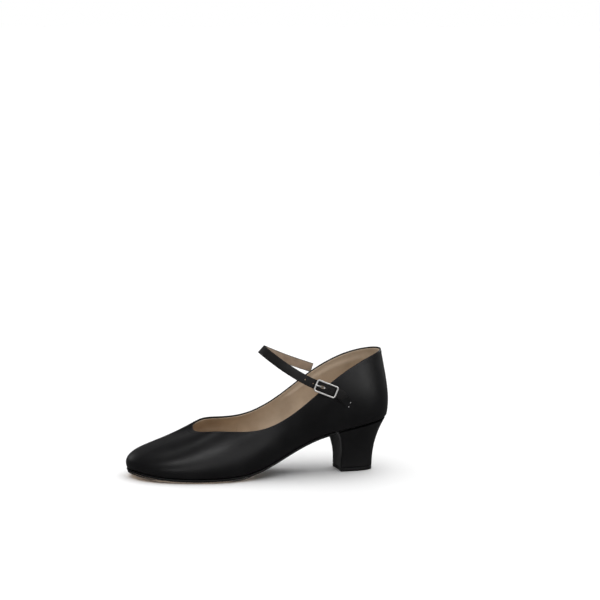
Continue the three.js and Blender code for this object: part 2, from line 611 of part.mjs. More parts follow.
function makeStrap() {
  const holes = strapHoles();
  const outer = BACKING_THICK + STRAP_LAYER_GAP;
  const root = STRAP_FREE_LENGTH - 0.5;
  const band = strapBand(outer, outer + STRAP_THICK, STRAP_WIDTH, -TAIL_LENGTH, root, 52);
  add("strap", cut(band, holes), BLACK_LEATHER);
  const backing = strapBand(0, BACKING_THICK, STRAP_WIDTH - 1, -TAIL_LENGTH + 0.5, root - 0.5, 52);
  add("strap_backing", cut(backing, holes), LINING_LEATHER);
}

// ---------------------------------------------------------------- buckle, in the axes of its bar
const STRAP_TOP = STRAP_OVER_BAR + BACKING_THICK + STRAP_LAYER_GAP + STRAP_THICK;
const RAIL_LOW = STRAP_TOP + RAIL_CLEARANCE;
const RAIL_HIGH = RAIL_LOW + RAIL_THICK;

function addToBuckle(name, geometry, material) {
  const mesh = add(name, geometry, material);
  mesh.position.setFromMatrixPosition(BUCKLE_FRAME);
  mesh.quaternion.setFromRotationMatrix(BUCKLE_FRAME);
}

function roundedRectangle(path, length, width, radius) {
  const [a, b] = [length / 2, width / 2];
  path.moveTo(a, -b + radius);
  path.absarc(a - radius, b - radius, radius, 0, Math.PI / 2);
  path.absarc(-a + radius, b - radius, radius, Math.PI / 2, Math.PI);
  path.absarc(-a + radius, -b + radius, radius, Math.PI, 1.5 * Math.PI);
  path.absarc(a - radius, -b + radius, radius, 1.5 * Math.PI, 2 * Math.PI);
  return path;
}

function makeFrame() {
  const outline = roundedRectangle(new THREE.Shape(), BUCKLE_LENGTH, BUCKLE_WIDTH, 2.6);
  const opening = [BUCKLE_LENGTH - 2 * RAIL, BUCKLE_WIDTH - 2 * RAIL];
  outline.holes.push(roundedRectangle(new THREE.Path(), ...opening, 1.2));
  const bevel = 0.3;
  const rim = new THREE.ExtrudeGeometry(outline, {
    depth: RAIL_THICK - 2 * bevel, curveSegments: 4,
    bevelThickness: bevel, bevelSize: bevel, bevelOffset: -bevel, bevelSegments: 1,
  });
  let solid = toSolid(rim.translate(0, 0, RAIL_LOW + bevel));
  const span = BUCKLE_WIDTH - RAIL;
  solid = solid.add(toSolid(new THREE.CylinderGeometry(BAR_RADIUS, BAR_RADIUS, span, 12)));
  for (const side of [-1, 1]) {
    const lug = new THREE.BoxGeometry(2.6, RAIL - 0.4, RAIL_LOW + RAIL_THICK / 2 + BAR_RADIUS);
    lug.translate(0, (side * span) / 2, (RAIL_LOW + RAIL_THICK / 2 - BAR_RADIUS) / 2);
    solid = solid.add(toSolid(lug));
  }
  addToBuckle("buckle_frame", toGeometry(solid), NICKEL);
}

// A flat outline of x and z pushed out across the buckle to a width.
function acrossBuckle(points, width) {
  const shape = new THREE.Shape(points.map(([x, z]) => new THREE.Vector2(x, z)));
  const g = new THREE.ExtrudeGeometry(shape, { depth: width, bevelEnabled: false, curveSegments: 6 });
  return g.rotateX(Math.PI / 2).translate(0, width / 2, 0);
}

// The prong curls round the bar, comes up through the strap and rests on the front rail.
function makeProng() {
  const course = [[1.1, 0.3], [2.4, 1.5], [3.7, 3.3], [5.6, 5.2], [8, 6.2], [10.2, 6.5], [12.2, 6.3]];
  const line = new THREE.CatmullRomCurve3(course.map(([x, z]) => V(x, 0, z)));
  const side = (sign) =>
    range(12, 0, 1).map((q) => {
      const [p, t] = [line.getPoint(q), line.getTangent(q)];
      const half = (PRONG_THICK / 2) * (q > 0.9 ? 0.7 : 1) * sign;
      return [p.x - t.z * half, p.z + t.x * half];
    });
  const tongue = acrossBuckle([...side(-1), ...side(1).reverse()], PRONG_WIDTH);
  const circle = range(16, 0, 2 * Math.PI).slice(0, -1).map((a) => [1.5 * Math.cos(a), 1.5 * Math.sin(a)]);
  const curl = acrossBuckle(circle, PRONG_WIDTH);
  const bore = new THREE.CylinderGeometry(BAR_RADIUS + BAR_CLEARANCE, BAR_RADIUS + BAR_CLEARANCE, 4, 16);
  const solid = toSolid(tongue).add(toSolid(curl)).subtract(toSolid(bore));
  addToBuckle("buckle_prong", toGeometry(solid), NICKEL);
}

// The tab: leather folded round the bar, both layers running back to the seam on the quarter.
const TAB_BEND = 0.004; // how the tab follows the quarter's curve
const TAB_DROP = 0.0085; // how it curves down towards its seam
function makeTab() {
  const low = -TAB_OVER_BAR;
  const round = range(8, -Math.PI / 2, Math.PI / 2);
  const nose = round.map((a) => [TAB_OVER_BAR * Math.cos(a), TAB_OVER_BAR * Math.sin(a)]);
  const under = range(8, -TAB_LENGTH, 0).slice(0, -1).map((x) => [x, low]);
  const over = range(7, -4.5, -TAB_LENGTH).map((x) => [x, low + 2 * TAB_LAYER]);
  const blank = toSolid(acrossBuckle([...under, ...nose, ...over], STRAP_WIDTH - 0.5));
  const bored = BAR_RADIUS + BAR_CLEARANCE;
  const bore = toSolid(new THREE.CylinderGeometry(bored, bored, 20, 16));
  const slot = toSolid(new THREE.BoxGeometry(6, SLOT_WIDTH, 6).translate(0.8, 0, 0));
  const geometry = toGeometry(blank.subtract(bore).subtract(slot));
  const at = geometry.getAttribute("position");
  for (let i = 0; i < at.count; i++) {
    const back = Math.min(0, at.getX(i) + 3);
    at.setY(i, at.getY(i) + TAB_DROP * back * back);
    at.setZ(i, at.getZ(i) - TAB_BEND * back * back);
  }
  addToBuckle("buckle_tab", geometry, BLACK_LEATHER);
}

makeUpper();
makeStiffenersAndLinings();
makeFasteners();
makeInside();
makeHeelPad();
makeHeel();
makeOutsole();
makeTread();
makeStrap();
makeTab();
makeFrame();
makeProng();

export default shoe;
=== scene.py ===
import math

import bmesh
import bpy
import numpy as np
from mathutils import Matrix, Vector
from mathutils.geometry import delaunay_2d_cdt


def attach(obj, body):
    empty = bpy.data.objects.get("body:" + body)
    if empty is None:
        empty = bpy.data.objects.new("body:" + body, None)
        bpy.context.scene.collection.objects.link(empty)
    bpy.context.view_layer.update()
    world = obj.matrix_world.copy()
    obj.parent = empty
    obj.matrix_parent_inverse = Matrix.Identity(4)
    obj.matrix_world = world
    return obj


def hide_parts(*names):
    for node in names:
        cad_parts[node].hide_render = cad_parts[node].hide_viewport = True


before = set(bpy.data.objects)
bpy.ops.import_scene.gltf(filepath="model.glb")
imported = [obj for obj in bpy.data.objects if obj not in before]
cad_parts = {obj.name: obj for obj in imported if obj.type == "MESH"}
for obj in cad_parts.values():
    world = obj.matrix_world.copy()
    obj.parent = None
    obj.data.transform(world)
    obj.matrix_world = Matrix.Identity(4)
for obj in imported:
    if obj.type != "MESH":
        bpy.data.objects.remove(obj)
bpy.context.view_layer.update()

# ---------------------------------------------------------------- dimensions, in millimetres as in part.mjs
# u runs along the shoe from the toe tip, y across it, z up. The row frame is this, shifted and in metres.
MIDDLE_U = 121.92
SIDE_SHIFT = 1.29
GAP = 0.3  # between pieces that touch on the real shoe
UPPER_THICK = 1.2
LINING_THICK = 0.8
STIFFENER_THICK = 0.9
BOARD_THICK = 2.0
SOCK_THICK = 0.8
PAD_THICK = 2.4
OUTSOLE_THICK = 1.8
TREAD_THICK = 1.4
LIFT_THICK = 3.2
STRAP_WIDTH = 8.5
STRAP_THICK = 0.9
BACKING_THICK = 0.5
LAYER_GAP = 0.2
TAIL_LENGTH = 21.8
BAR_RADIUS = 0.65
BAR_CLEARANCE = 0.2
TAB_LAYER = 0.6
TAB_LENGTH = 31.0
PRONG_WIDTH = 1.6
SOCK_INSET = 5  # insets are from the line where the upper turns under
OUTSOLE_INSET = 0.6
TREAD_INSET = 1.4
SEAT_INSET = 0.9
BREAST_HOLLOW = 3.5
HOLE_RADIUS = 0.62
HOLE_PITCH = 8.2
HOLE_MIDDLE = 4.4  # of the row of holes, from the bar
AROUND = 20  # stations round the upper, counted by s

# u, z of the control points of the line that the upper's lower edge follows
SOLE_PROFILE = np.array([
    (-12.2, 11.48), (3.9, 7.93), (21.9, 5), (44.9, 3.7), (69.9, 3.83), (93.9, 4.65), (111.9, 7.57),
    (130.8, 15.46), (149.6, 25.25), (167.5, 33.42), (185.4, 38.99), (203.4, 42.46), (221.3, 46.64),
    (239.3, 49.91), (257.2, 52.58),
])
# feather u, y | swell du, dy, dz | shoulder u, y, z | topline u, y, z, from the toe tip by the buckle side
STATIONS = np.array([
    (-2.1, 7, -3.2, 0, 13, 21, 7, 28.9, 60.6, 5, 41.2),
    (1.9, -11, -3.2, -2, 13, 23, -6, 28.8, 60.9, -6, 41.8),
    (18.9, -27, -2.2, -3, 13, 34.5, -18, 29.6, 63.8, -17, 43.3),
    (49.9, -37.5, -2.2, -3, 13, 58.5, -32, 33.5, 76.3, -26, 45.6),
    (85.9, -41.5, -1.2, -3, 13, 91.5, -38, 34.8, 96.3, -31, 44.2),
    (121.8, -32, -0.2, -6, 12, 123.5, -36, 35, 121.3, -33.5, 45.6),
    (155.6, -24, -0.2, -7, 12, 151.3, -33, 47.4, 149.1, -34, 61.3),
    (189.4, -25, -0.2, -6, 16, 180, -33, 69.8, 177.7, -32.5, 85.8),
    (219.3, -27, 0.7, -5, 18, 209.7, -29, 84.3, 206.4, -27, 103.2),
    (239.3, -19, 2.7, -3, 18, 234.6, -19, 90.6, 230.3, -17, 110.6),
    (245.3, 0, 3.7, 0, 18.1, 243.6, 0, 92.8, 240.3, 0, 112.7),
    (239.3, 19, 2.7, 3, 18, 234.6, 19, 90.6, 230.3, 17, 110.6),
    (219.3, 26, 0.7, 5, 18, 209.7, 29, 84.3, 206.4, 27, 103.2),
    (189.4, 23, -0.2, 7, 16, 180, 33, 69.8, 177.7, 32.5, 85.8),
    (155.6, 20, -0.2, 8, 12, 151.3, 33, 47.4, 149.1, 33.5, 62.3),
    (121.8, 26, -0.2, 7, 12, 123.4, 34, 37.9, 121.3, 31, 48.9),
    (85.9, 37.5, -0.2, 3, 14, 91.4, 37, 37.5, 96.3, 27, 47.5),
    (53.9, 41, -2.2, 3, 14, 61.4, 33, 38, 75.2, 21, 50),
    (23.9, 34, -2.2, 3, 14, 36, 22, 31.4, 63.8, 15, 46.6),
    (3.9, 23, -3.2, 2, 14, 24, 15, 29.2, 61.5, 12, 42.6),
], float)
CORNER_RISE = 2.6
# inner face of the strap from its tail to its root, and the direction to its front edge
STRAP_LINE = np.array([
    (212, -33.8, 66.3, -0.34, 0.05, -0.95),
    (200.9, -34.8, 71.3, -0.34, 0.05, -0.95),
    (186.8, -36.4, 77.5, -0.36, 0, -0.94),
    (172.7, -37.2, 83.5, -0.37, 0, -0.94),
    (160.2, -36.8, 88.5, -0.39, 0, -0.92),
    (148.1, -34.5, 95.1, -0.47, 0, -0.89),
    (135.4, -26, 103.3, -0.61, 0, -0.79),
    (125.8, -11, 111.2, -0.69, 0, -0.72),
    (124.3, 4, 113.5, -0.69, 0, -0.72),
    (129.3, 18, 110.5, -0.65, 0, -0.76),
    (141.4, 28.5, 104.7, -0.49, 0, -0.87),
    (156.5, 34.2, 98, -0.39, 0, -0.92),
    (171.6, 35, 92.5, -0.36, 0, -0.94),
    (182.7, 33.8, 88.7, -0.35, 0, -0.95),
    (193.7, 32, 85, -0.35, 0, -0.95),
])


def spline(points, p, closed=False):
    """A uniform cubic B-spline at parameters p, counted in spans."""
    p = np.atleast_1d(np.asarray(p, float))
    n = len(points)
    k = np.floor(p).astype(int) if closed else np.clip(np.floor(p).astype(int), 0, n - 4)
    f = p - k
    weights = [(1 - f) ** 3, 3 * f**3 - 6 * f * f + 4, -3 * f**3 + 3 * f * f + 3 * f + 1, f**3]
    first = k - 1 if closed else k
    return sum((w / 6)[:, None] * points[(first + i) % n] for i, w in enumerate(weights))


PROFILE = spline(SOLE_PROFILE, np.linspace(0, len(SOLE_PROFILE) - 3, 240))


def sole_height(u):
    return np.interp(u, PROFILE[:, 0], PROFILE[:, 1])


def on_sole(u, y, rise):
    """Points a rise off the sole's line, square to it."""
    slope = np.arctan2(sole_height(u + 2) - sole_height(u - 2), 4)
    return np.stack([u - rise * np.sin(slope), y + 0 * u, sole_height(u) + rise * np.cos(slope)], -1)


def wall(s, t):
    """The upper's outer face at stations s and heights t, on a grid of t by s."""
    c = spline(STATIONS, s, True)[None]
    t = np.asarray(t, float).reshape(-1, 1, 1)
    a = np.concatenate([c[..., :2], sole_height(c[..., :1]) + CORNER_RISE], -1)
    b = a + c[..., 2:5]
    return (1 - t) ** 3 * a + 3 * t * (1 - t) ** 2 * b + 3 * t * t * (1 - t) * c[..., 5:8] + t**3 * c[..., 8:]


def unit(v):
    return v / np.maximum(np.linalg.norm(v, axis=-1, keepdims=True), 1e-9)


def wall_normal(s, t):
    """The wall's outward normal, and the direction up the wall."""
    t = np.asarray(t, float)
    low, high = np.maximum(0, t - 0.01), np.minimum(1, t + 0.01)
    up = wall(s, high) - wall(s, low)
    return unit(np.cross(wall(s + 0.01, t) - wall(s - 0.01, t), up)), unit(up)


def in_wall(s, t, depth):
    """Points as deep inside the wall's outer face as depth, one number or one per point."""
    return wall(s, t) - wall_normal(s, t)[0] * (depth[..., None] if np.ndim(depth) else depth)


def feather(s, inset):
    """u, y of the line where the upper turns under, moved in by inset."""
    s = np.asarray(s, float)
    a, b = spline(STATIONS[:, :2], s, True), spline(STATIONS[:, :2], s + 0.01, True)
    d = unit(b - a)
    return a - np.stack([d[:, 1], -d[:, 0]], -1) * inset


def margin(s, inset, rise):
    """Points over the sole's line at the feather's stations, moved in by inset and up by rise."""
    q = feather(s, inset)
    return on_sole(q[:, 0], q[:, 1], rise)


def smoothstep(a, b, x):
    k = np.clip((x - a) / (b - a), 0, 1)
    return k * k * (3 - 2 * k)


# ---------------------------------------------------------------- materials
def node(tree, kind, inputs=None, **settings):
    n = tree.nodes.new("ShaderNode" + kind)
    for key, value in settings.items():
        setattr(n, key, value)
    for key, value in (inputs or {}).items():
        if isinstance(value, bpy.types.NodeSocket):
            tree.links.new(value, n.inputs[key])
        else:
            n.inputs[key].default_value = value
    return n


def ramp(tree, factor, stops):
    n = node(tree, "ValToRGB", {"Fac": factor})
    while len(n.color_ramp.elements) < len(stops):
        n.color_ramp.elements.new(0.5)
    for element, (place, colour) in zip(n.color_ramp.elements, stops):
        element.position = place
        element.color = (*colour, 1)
    return n.outputs["Color"]


def span(tree, value, low, high, start=0.3, end=0.7):
    """value from start to end brought to low to high, and held at both."""
    inputs = {"Value": value, "From Min": start, "From Max": end, "To Min": low, "To Max": high}
    return node(tree, "MapRange", inputs).outputs["Result"]


def maths(tree, operation, a, b=0.0):
    return node(tree, "Math", {0: a, 1: b}, operation=operation).outputs[0]


def noise(tree, place, scale, detail):
    return node(tree, "TexNoise", {"Vector": place, "Scale": scale, "Detail": detail}).outputs["Fac"]


def attribute(tree, name):
    return node(tree, "Attribute", attribute_name=name).outputs["Fac"]


def blend(tree, share, under, over):
    """The colour under with share of the colour over on it."""
    mix = node(tree, "Mix", {"Factor": share, 6: under, 7: (*over, 1)}, data_type="RGBA")
    return mix.outputs[2]


def surface(name, dark, light, patch, rough, bumps, extra=None, **sockets):
    """A material mottled from dark to light over patches per metre, with roughness and layers of bump.

    bumps: (kind, scale per metre, height in mm, stretch along x).
    extra(tree, bsdf, colour, coordinate) adds nodes to it.
    """
    m = bpy.data.materials.new(name)
    m.use_nodes = True
    tree = m.node_tree
    bsdf = tree.nodes["Principled BSDF"]
    place = node(tree, "TexCoord").outputs["Object"]
    mottle = node(tree, "TexNoise", {"Vector": place, "Scale": patch, "Detail": 5.0, "Roughness": 0.6})
    colour = ramp(tree, mottle.outputs["Fac"], [(0.34, dark), (0.66, light)])
    worn = node(tree, "TexNoise", {"Vector": place, "Scale": patch * 3.1, "Detail": 6.0, "Roughness": 0.7})
    tree.links.new(span(tree, worn.outputs["Fac"], *rough), bsdf.inputs["Roughness"])
    tree.links.new(colour, bsdf.inputs["Base Color"])
    normal = None
    for kind, scale, height, stretch in bumps:
        grown = node(tree, "Mapping", {"Vector": place, "Scale": (scale * stretch, scale, scale)})
        source = {"noise": "TexNoise", "cells": "TexVoronoi", "wave": "TexWave"}[kind]
        texture = node(tree, source, {"Vector": grown.outputs["Vector"], "Scale": 1.0})
        if kind == "cells":
            texture.feature = "SMOOTH_F1"
        elif kind == "noise":
            texture.inputs["Detail"].default_value = 4.0
        else:
            texture.inputs["Distortion"].default_value = 1.5
        value = texture.outputs["Distance" if kind == "cells" else "Fac"]
        bump = node(tree, "Bump", {"Height": value, "Strength": 1.0, "Distance": height / 1000})
        if normal is not None:
            tree.links.new(normal, bump.inputs["Normal"])
        normal = bump.outputs["Normal"]
    if normal is not None:
        tree.links.new(normal, bsdf.inputs["Normal"])
    for key, value in sockets.items():
        bsdf.inputs[key.replace("_", " ")].default_value = value
    if extra:
        extra(tree, bsdf, colour, place)
    return m


LEATHER_GRAIN = [("noise", 22, 0.35, 1), ("cells", 900, 0.028, 1), ("noise", 2600, 0.02, 1)]
BLACK = surface("black_leather", (0.0042, 0.0041, 0.0045), (0.0070, 0.0069, 0.0074), 26, (0.29, 0.40),
                LEATHER_GRAIN, Specular_IOR_Level=0.12)
HEEL_BLACK = surface("heel_leather", (0.0046, 0.0045, 0.0049), (0.0076, 0.0075, 0.0080), 30, (0.32, 0.44),
                     LEATHER_GRAIN, Specular_IOR_Level=0.12)
# painted shade: a near-black, dull colour on the heel cover's top edge, for the shade in the groove between
# the upper and the heel; it also hides that edge's highlight
SEAT_PAINTED_SHADE = surface("seat_painted_shade", (0.0010, 0.0010, 0.0011), (0.0020, 0.0020, 0.0021), 60, (0.8, 0.95),
                   [("noise", 2600, 0.02, 1)], Specular_IOR_Level=0.01)
STRAP_BLACK = surface("strap_leather", (0.0075, 0.0070, 0.0070), (0.0125, 0.0117, 0.0117), 60, (0.38, 0.5),
                      [("cells", 1100, 0.035, 1), ("noise", 3000, 0.025, 1)], Specular_IOR_Level=0.1)
SOLE_BLACK = surface("sole_black", (0.0036, 0.0036, 0.0038), (0.0066, 0.0066, 0.0070), 40, (0.42, 0.58),
                     [("noise", 300, 0.05, 0.2), ("noise", 2200, 0.03, 1)], Specular_IOR_Level=0.1)
LINING = surface("lining_leather", (0.40, 0.30, 0.205), (0.50, 0.385, 0.27), 45, (0.6, 0.75),
                 [("cells", 1400, 0.03, 1), ("noise", 900, 0.03, 1)], Sheen_Weight=0.15, Sheen_Roughness=0.5)
SOCK = surface("sock_leather", (0.44, 0.34, 0.235), (0.54, 0.42, 0.31), 30, (0.55, 0.7),
               [("cells", 1300, 0.035, 1), ("noise", 60, 0.12, 1)], Sheen_Weight=0.12, Sheen_Roughness=0.5)
SUEDE_BACK = surface("backing_leather", (0.30, 0.21, 0.14), (0.4, 0.29, 0.2), 80, (0.75, 0.9),
                     [("noise", 2500, 0.05, 1)], Sheen_Weight=0.3, Sheen_Roughness=0.6)
NICKEL = surface("nickel", (0.42, 0.415, 0.405), (0.58, 0.57, 0.56), 140, (0.3, 0.46),
                 [("noise", 700, 0.012, 0.15), ("noise", 3500, 0.004, 1)], Metallic=1.0)
STEEL = surface("steel", (0.36, 0.37, 0.39), (0.5, 0.51, 0.53), 120, (0.3, 0.48),
                [("noise", 900, 0.02, 0.1)], Metallic=1.0)
TWIST = [("wave", 1800, 0.05, 1)]
THREAD = surface("black_thread", (0.003, 0.003, 0.0034), (0.008, 0.008, 0.009), 300, (0.5, 0.65),
                 TWIST, Specular_IOR_Level=0.15, Sheen_Weight=0.03, Sheen_Roughness=0.4)
# painted highlight: pale grey thread whose paleness stands in for the glint on the two knots at the tab's end
KNOT_GLINT_THREAD = surface("knot_glint_thread", (0.42, 0.41, 0.42), (0.6, 0.59, 0.6), 300, (0.4, 0.55), TWIST)
TAN_THREAD = surface("tan_thread", (0.42, 0.32, 0.22), (0.56, 0.44, 0.31), 300, (0.55, 0.7), TWIST)
CANVAS = surface("stiffener_cloth", (0.5, 0.46, 0.38), (0.66, 0.62, 0.53), 70, (0.8, 0.95),
                 [("wave", 1100, 0.08, 1)])
BOARD = surface("fibreboard", (0.27, 0.17, 0.09), (0.42, 0.28, 0.16), 160, (0.8, 0.92),
                [("noise", 1200, 0.07, 1)])
CORK = surface("cork", (0.28, 0.16, 0.07), (0.52, 0.34, 0.18), 700, (0.85, 0.95), [("cells", 800, 0.2, 1)])
PLASTIC = surface("heel_plastic", (0.02, 0.02, 0.021), (0.033, 0.033, 0.035), 50, (0.4, 0.5),
                  [("noise", 1500, 0.02, 1)])


LAYER_PITCH = 0.00105  # metres from one pressed layer of the lift to the next


def lift_lines(tree, bsdf, colour, place):
    """Thin pressed layers round the edge of the lift, and scuffs from the floor."""
    height = node(tree, "SeparateXYZ", {"Vector": place}).outputs["Z"]
    wave = maths(tree, "SINE", maths(tree, "MULTIPLY", height, 2 * math.pi / LAYER_PITCH))
    line = span(tree, wave, 0, 0.35, 0.9, 1)
    scuff = span(tree, noise(tree, place, 1500, 3), 0, 0.25, 0.6, 0.75)
    marked = blend(tree, maths(tree, "MAXIMUM", line, scuff), colour, (0.42, 0.33, 0.24))
    tree.links.new(marked, bsdf.inputs["Base Color"])


LIFT = surface("lift_leather", (0.74, 0.67, 0.57), (0.84, 0.78, 0.69), 60, (0.6, 0.78),
               [("noise", 1800, 0.04, 1), ("noise", 150, 0.05, 0.3)], extra=lift_lines)


def tread_grooves(tree, bsdf, colour, place):
    """Dark lines cut along whole numbers of the groove attribute, and a pale rim round the smooth patch."""
    phase, share, rim = (attribute(tree, name) for name in ("groove", "cut", "rim"))
    shift = span(tree, noise(tree, place, 60, 2), -0.12, 0.12)
    from_line = maths(tree, "PINGPONG", maths(tree, "ADD", phase, shift), 0.5)
    strength = maths(tree, "MULTIPLY", span(tree, from_line, 1, 0, 0.025, 0.06), share)
    worn = maths(tree, "MULTIPLY", strength, span(tree, noise(tree, place, 320, 3), 0.45, 1))
    grooved = blend(tree, worn, colour, (0.24, 0.145, 0.095))
    tree.links.new(blend(tree, rim, grooved, (0.9, 0.82, 0.72)), bsdf.inputs["Base Color"])
    cut = node(tree, "Bump", {"Height": strength, "Strength": 1.0, "Distance": 0.0004}, invert=True)
    tree.links.new(bsdf.inputs["Normal"].links[0].from_socket, cut.inputs["Normal"])
    tree.links.new(cut.outputs["Normal"], bsdf.inputs["Normal"])


TREAD = surface("tread_leather", (0.72, 0.575, 0.45), (0.82, 0.68, 0.55), 40, (0.62, 0.8),
                [("noise", 1500, 0.05, 1), ("noise", 4000, 0.03, 1)], extra=tread_grooves)


def edge_darkening(tree, bsdf, colour, place):
    """Black on the upper part of the sheet's edge, and on all of it round the toe and in the waist."""
    edge_dark = maths(tree, "ADD", attribute(tree, "edge_dark"), span(tree, noise(tree, place, 160, 3), -0.08, 0.08))
    darkened = blend(tree, span(tree, edge_dark, 0, 1, 0.64, 0.8), colour, (0.006, 0.006, 0.006))
    tree.links.new(darkened, bsdf.inputs["Base Color"])


TREAD_EDGE = surface("tread_edge", (0.24, 0.18, 0.13), (0.44, 0.34, 0.25), 90, (0.6, 0.8),
                     [("noise", 900, 0.05, 0.2), ("noise", 2500, 0.03, 1)], extra=edge_darkening)

SLOTS = {
    **dict.fromkeys((BLACK, HEEL_BLACK, SEAT_PAINTED_SHADE, STRAP_BLACK, THREAD, KNOT_GLINT_THREAD), "black_leather"),
    **dict.fromkeys((LINING, SOCK, SUEDE_BACK, TAN_THREAD), "lining_leather"),
    **dict.fromkeys((LIFT, TREAD), "tan_leather"),
    SOLE_BLACK: "black_sole",
    NICKEL: "nickel",
}


# ---------------------------------------------------------------- mesh helpers
def to_row(points):
    return (np.asarray(points, float) + [-MIDDLE_U, SIDE_SHIFT, 0]) / 1000


def from_row(points):
    return np.array(points) * 1000 - [-MIDDLE_U, SIDE_SHIFT, 0]


def make_object(name, points, faces, sharp=40):
    """An object from points in millimetres, smooth but for edges sharper than the angle in degrees."""
    mesh = bpy.data.meshes.new(name)
    mesh.from_pydata(to_row(points).tolist(), [], faces)
    bm = bmesh.new()
    bm.from_mesh(mesh)
    bmesh.ops.remove_doubles(bm, verts=bm.verts, dist=1e-6)
    bmesh.ops.recalc_face_normals(bm, faces=bm.faces)
    bm.to_mesh(mesh)
    bm.free()
    mesh.polygons.foreach_set("use_smooth", [True] * len(mesh.polygons))
    mesh.set_sharp_from_angle(angle=math.radians(sharp))
    obj = bpy.data.objects.new(name, mesh)
    bpy.context.scene.collection.objects.link(obj)
    return obj


def dress(obj, material, body, nodes=()):
    obj.data.materials.clear()
    obj.data.materials.append(material)
    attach(obj, body)
    if nodes:
        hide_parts(*nodes)
    return obj


def face_material(obj, material, chosen):
    """A second material on the chosen faces."""
    obj.data.materials.append(material)
    for face in obj.data.polygons:
        face.material_index = int(chosen(face))


def grid_faces(rows, cols, wrap_rows=False, wrap_cols=False, start=0):
    """Faces between the points of a grid whose first point has the number start."""
    r = np.arange(rows if wrap_rows else rows - 1)[:, None]
    c = np.arange(cols if wrap_cols else cols - 1)[None]
    around = ((r, c), (r, c + 1), (r + 1, c + 1), (r + 1, c))
    corners = [start + (i % rows) * cols + (j % cols) for i, j in around]
    return np.stack(corners, -1).reshape(-1, 4).tolist()


def skin(name, grid, wrap_rows=False, wrap_cols=False, caps=False, sharp=40):
    """An object from a grid of points, rows by columns. Caps are flat, on its first and last rows."""
    rows, cols = grid.shape[:2]
    faces = grid_faces(rows, cols, wrap_rows, wrap_cols)
    if caps:
        faces += [list(range(cols)), list(range((rows - 1) * cols, rows * cols))]
    return make_object(name, grid.reshape(-1, 3), faces, sharp)


def offset_loop(loop, inset):
    """A closed plan outline moved inwards. Outlines turn anticlockwise seen from above."""
    ahead = np.roll(loop, -1, 0) - np.roll(loop, 1, 0)
    d = unit(ahead)
    return loop - np.stack([d[:, 1], -d[:, 0]], -1) * inset


def area_of(loop):
    x, y = loop[:, 0], loop[:, 1]
    return 0.5 * np.sum(x * np.roll(y, -1) - y * np.roll(x, -1))


def plate(name, loop, low, high, radius, place, step=3.0):
    """A sheet with rounded edges over a plan outline. place(u, y, rise) sets the points.

    Its flat faces are meshed with points about a step apart.
    """
    if area_of(loop) < 0:
        loop = loop[::-1]
    turns = np.linspace(0, math.pi / 2, 5)
    profile = [(radius * (1 - math.sin(a)), high - radius * (1 - math.cos(a))) for a in turns]
    profile += [(radius * (1 - math.cos(a)), low + radius * (1 - math.sin(a))) for a in turns]
    inner = offset_loop(loop, radius)
    lo, hi = inner.min(0), inner.max(0)
    gu, gy = np.meshgrid(np.arange(lo[0], hi[0], step), np.arange(lo[1], hi[1], step))
    seeds = np.stack([gu.ravel(), gy.ravel()], -1)
    seeds = seeds[inside(seeds, offset_loop(loop, radius + step * 0.4))]
    n = len(inner)
    points2 = [Vector(p) for p in np.concatenate([inner, seeds])]
    out = delaunay_2d_cdt(points2, [(i, (i + 1) % n) for i in range(n)], [], 1, 1e-6)
    cap = np.array([v[:] for v in out[0]])
    tris = [list(f) for f in out[2]]
    top, bottom = (place(cap[:, 0], cap[:, 1], np.full(len(cap), z)) for z in (high, low))
    rings = []
    for inset, z in profile:
        ring = offset_loop(loop, inset)
        rings.append(place(ring[:, 0], ring[:, 1], np.full(n, z)))
    points = np.concatenate([top, bottom, *rings])
    base = 2 * len(cap)
    faces = tris + [[len(cap) + i for i in reversed(t)] for t in tris]
    faces += grid_faces(len(rings), n, wrap_cols=True, start=base)
    return make_object(name, points, faces)


def inside(points, loop):
    """Which points lie inside a closed plan outline."""
    a, b = loop, np.roll(loop, -1, 0)
    crossing = (a[None, :, 1] > points[:, None, 1]) != (b[None, :, 1] > points[:, None, 1])
    dy = np.where(np.abs(b[:, 1] - a[:, 1]) < 1e-12, 1e-12, b[:, 1] - a[:, 1])
    x = a[None, :, 0] + (points[:, None, 1] - a[None, :, 1]) * ((b[:, 0] - a[:, 0]) / dy)[None]
    return (crossing & (points[:, None, 0] < x)).sum(1) % 2 == 1


def rounded_section(half, low, high, radius, corner=4):
    """Points of a rounded rectangle in y, z, for each half width given."""
    half = np.atleast_1d(np.asarray(half, float))[:, None]
    r = np.minimum(radius, (high - low) / 2 - 1e-3)
    starts = (-math.pi / 2, 0, math.pi / 2, math.pi)
    a = np.concatenate([np.linspace(start, start + math.pi / 2, corner) for start in starts])
    side = np.repeat([1, 1, -1, -1], corner)
    level = np.repeat([low + r, high - r, high - r, low + r], corner)
    inner = np.maximum(half - r, 0.05)
    y = side * inner + r * np.cos(a) * np.minimum(1, half / 0.6)
    return np.stack([y, level + r * np.sin(a) + 0 * half], -1)


def carve(obj, cutters, operation="DIFFERENCE", sharp=35):
    """Boolean obj with each cutter in turn and drop the cutters."""
    for cutter in cutters:
        modifier = obj.modifiers.new("cut", "BOOLEAN")
        modifier.operation, modifier.object, modifier.solver = operation, cutter, "EXACT"
    bpy.context.view_layer.update()
    done = bpy.data.meshes.new_from_object(obj.evaluated_get(bpy.context.evaluated_depsgraph_get()))
    obj.modifiers.clear()
    obj.data = done
    for cutter in cutters:
        bpy.data.objects.remove(cutter)
    obj.data.polygons.foreach_set("use_smooth", [True] * len(obj.data.polygons))
    obj.data.set_sharp_from_angle(angle=math.radians(sharp))
    return obj


def lengths_along(path):
    return np.concatenate([[0], np.cumsum(np.linalg.norm(np.diff(path, axis=0), axis=1))])


def at_lengths(d, lengths, rows):
    """Rows of numbers, given at some lengths along a line, at the lengths d."""
    return np.stack([np.interp(d, lengths, column) for column in rows.T], -1)


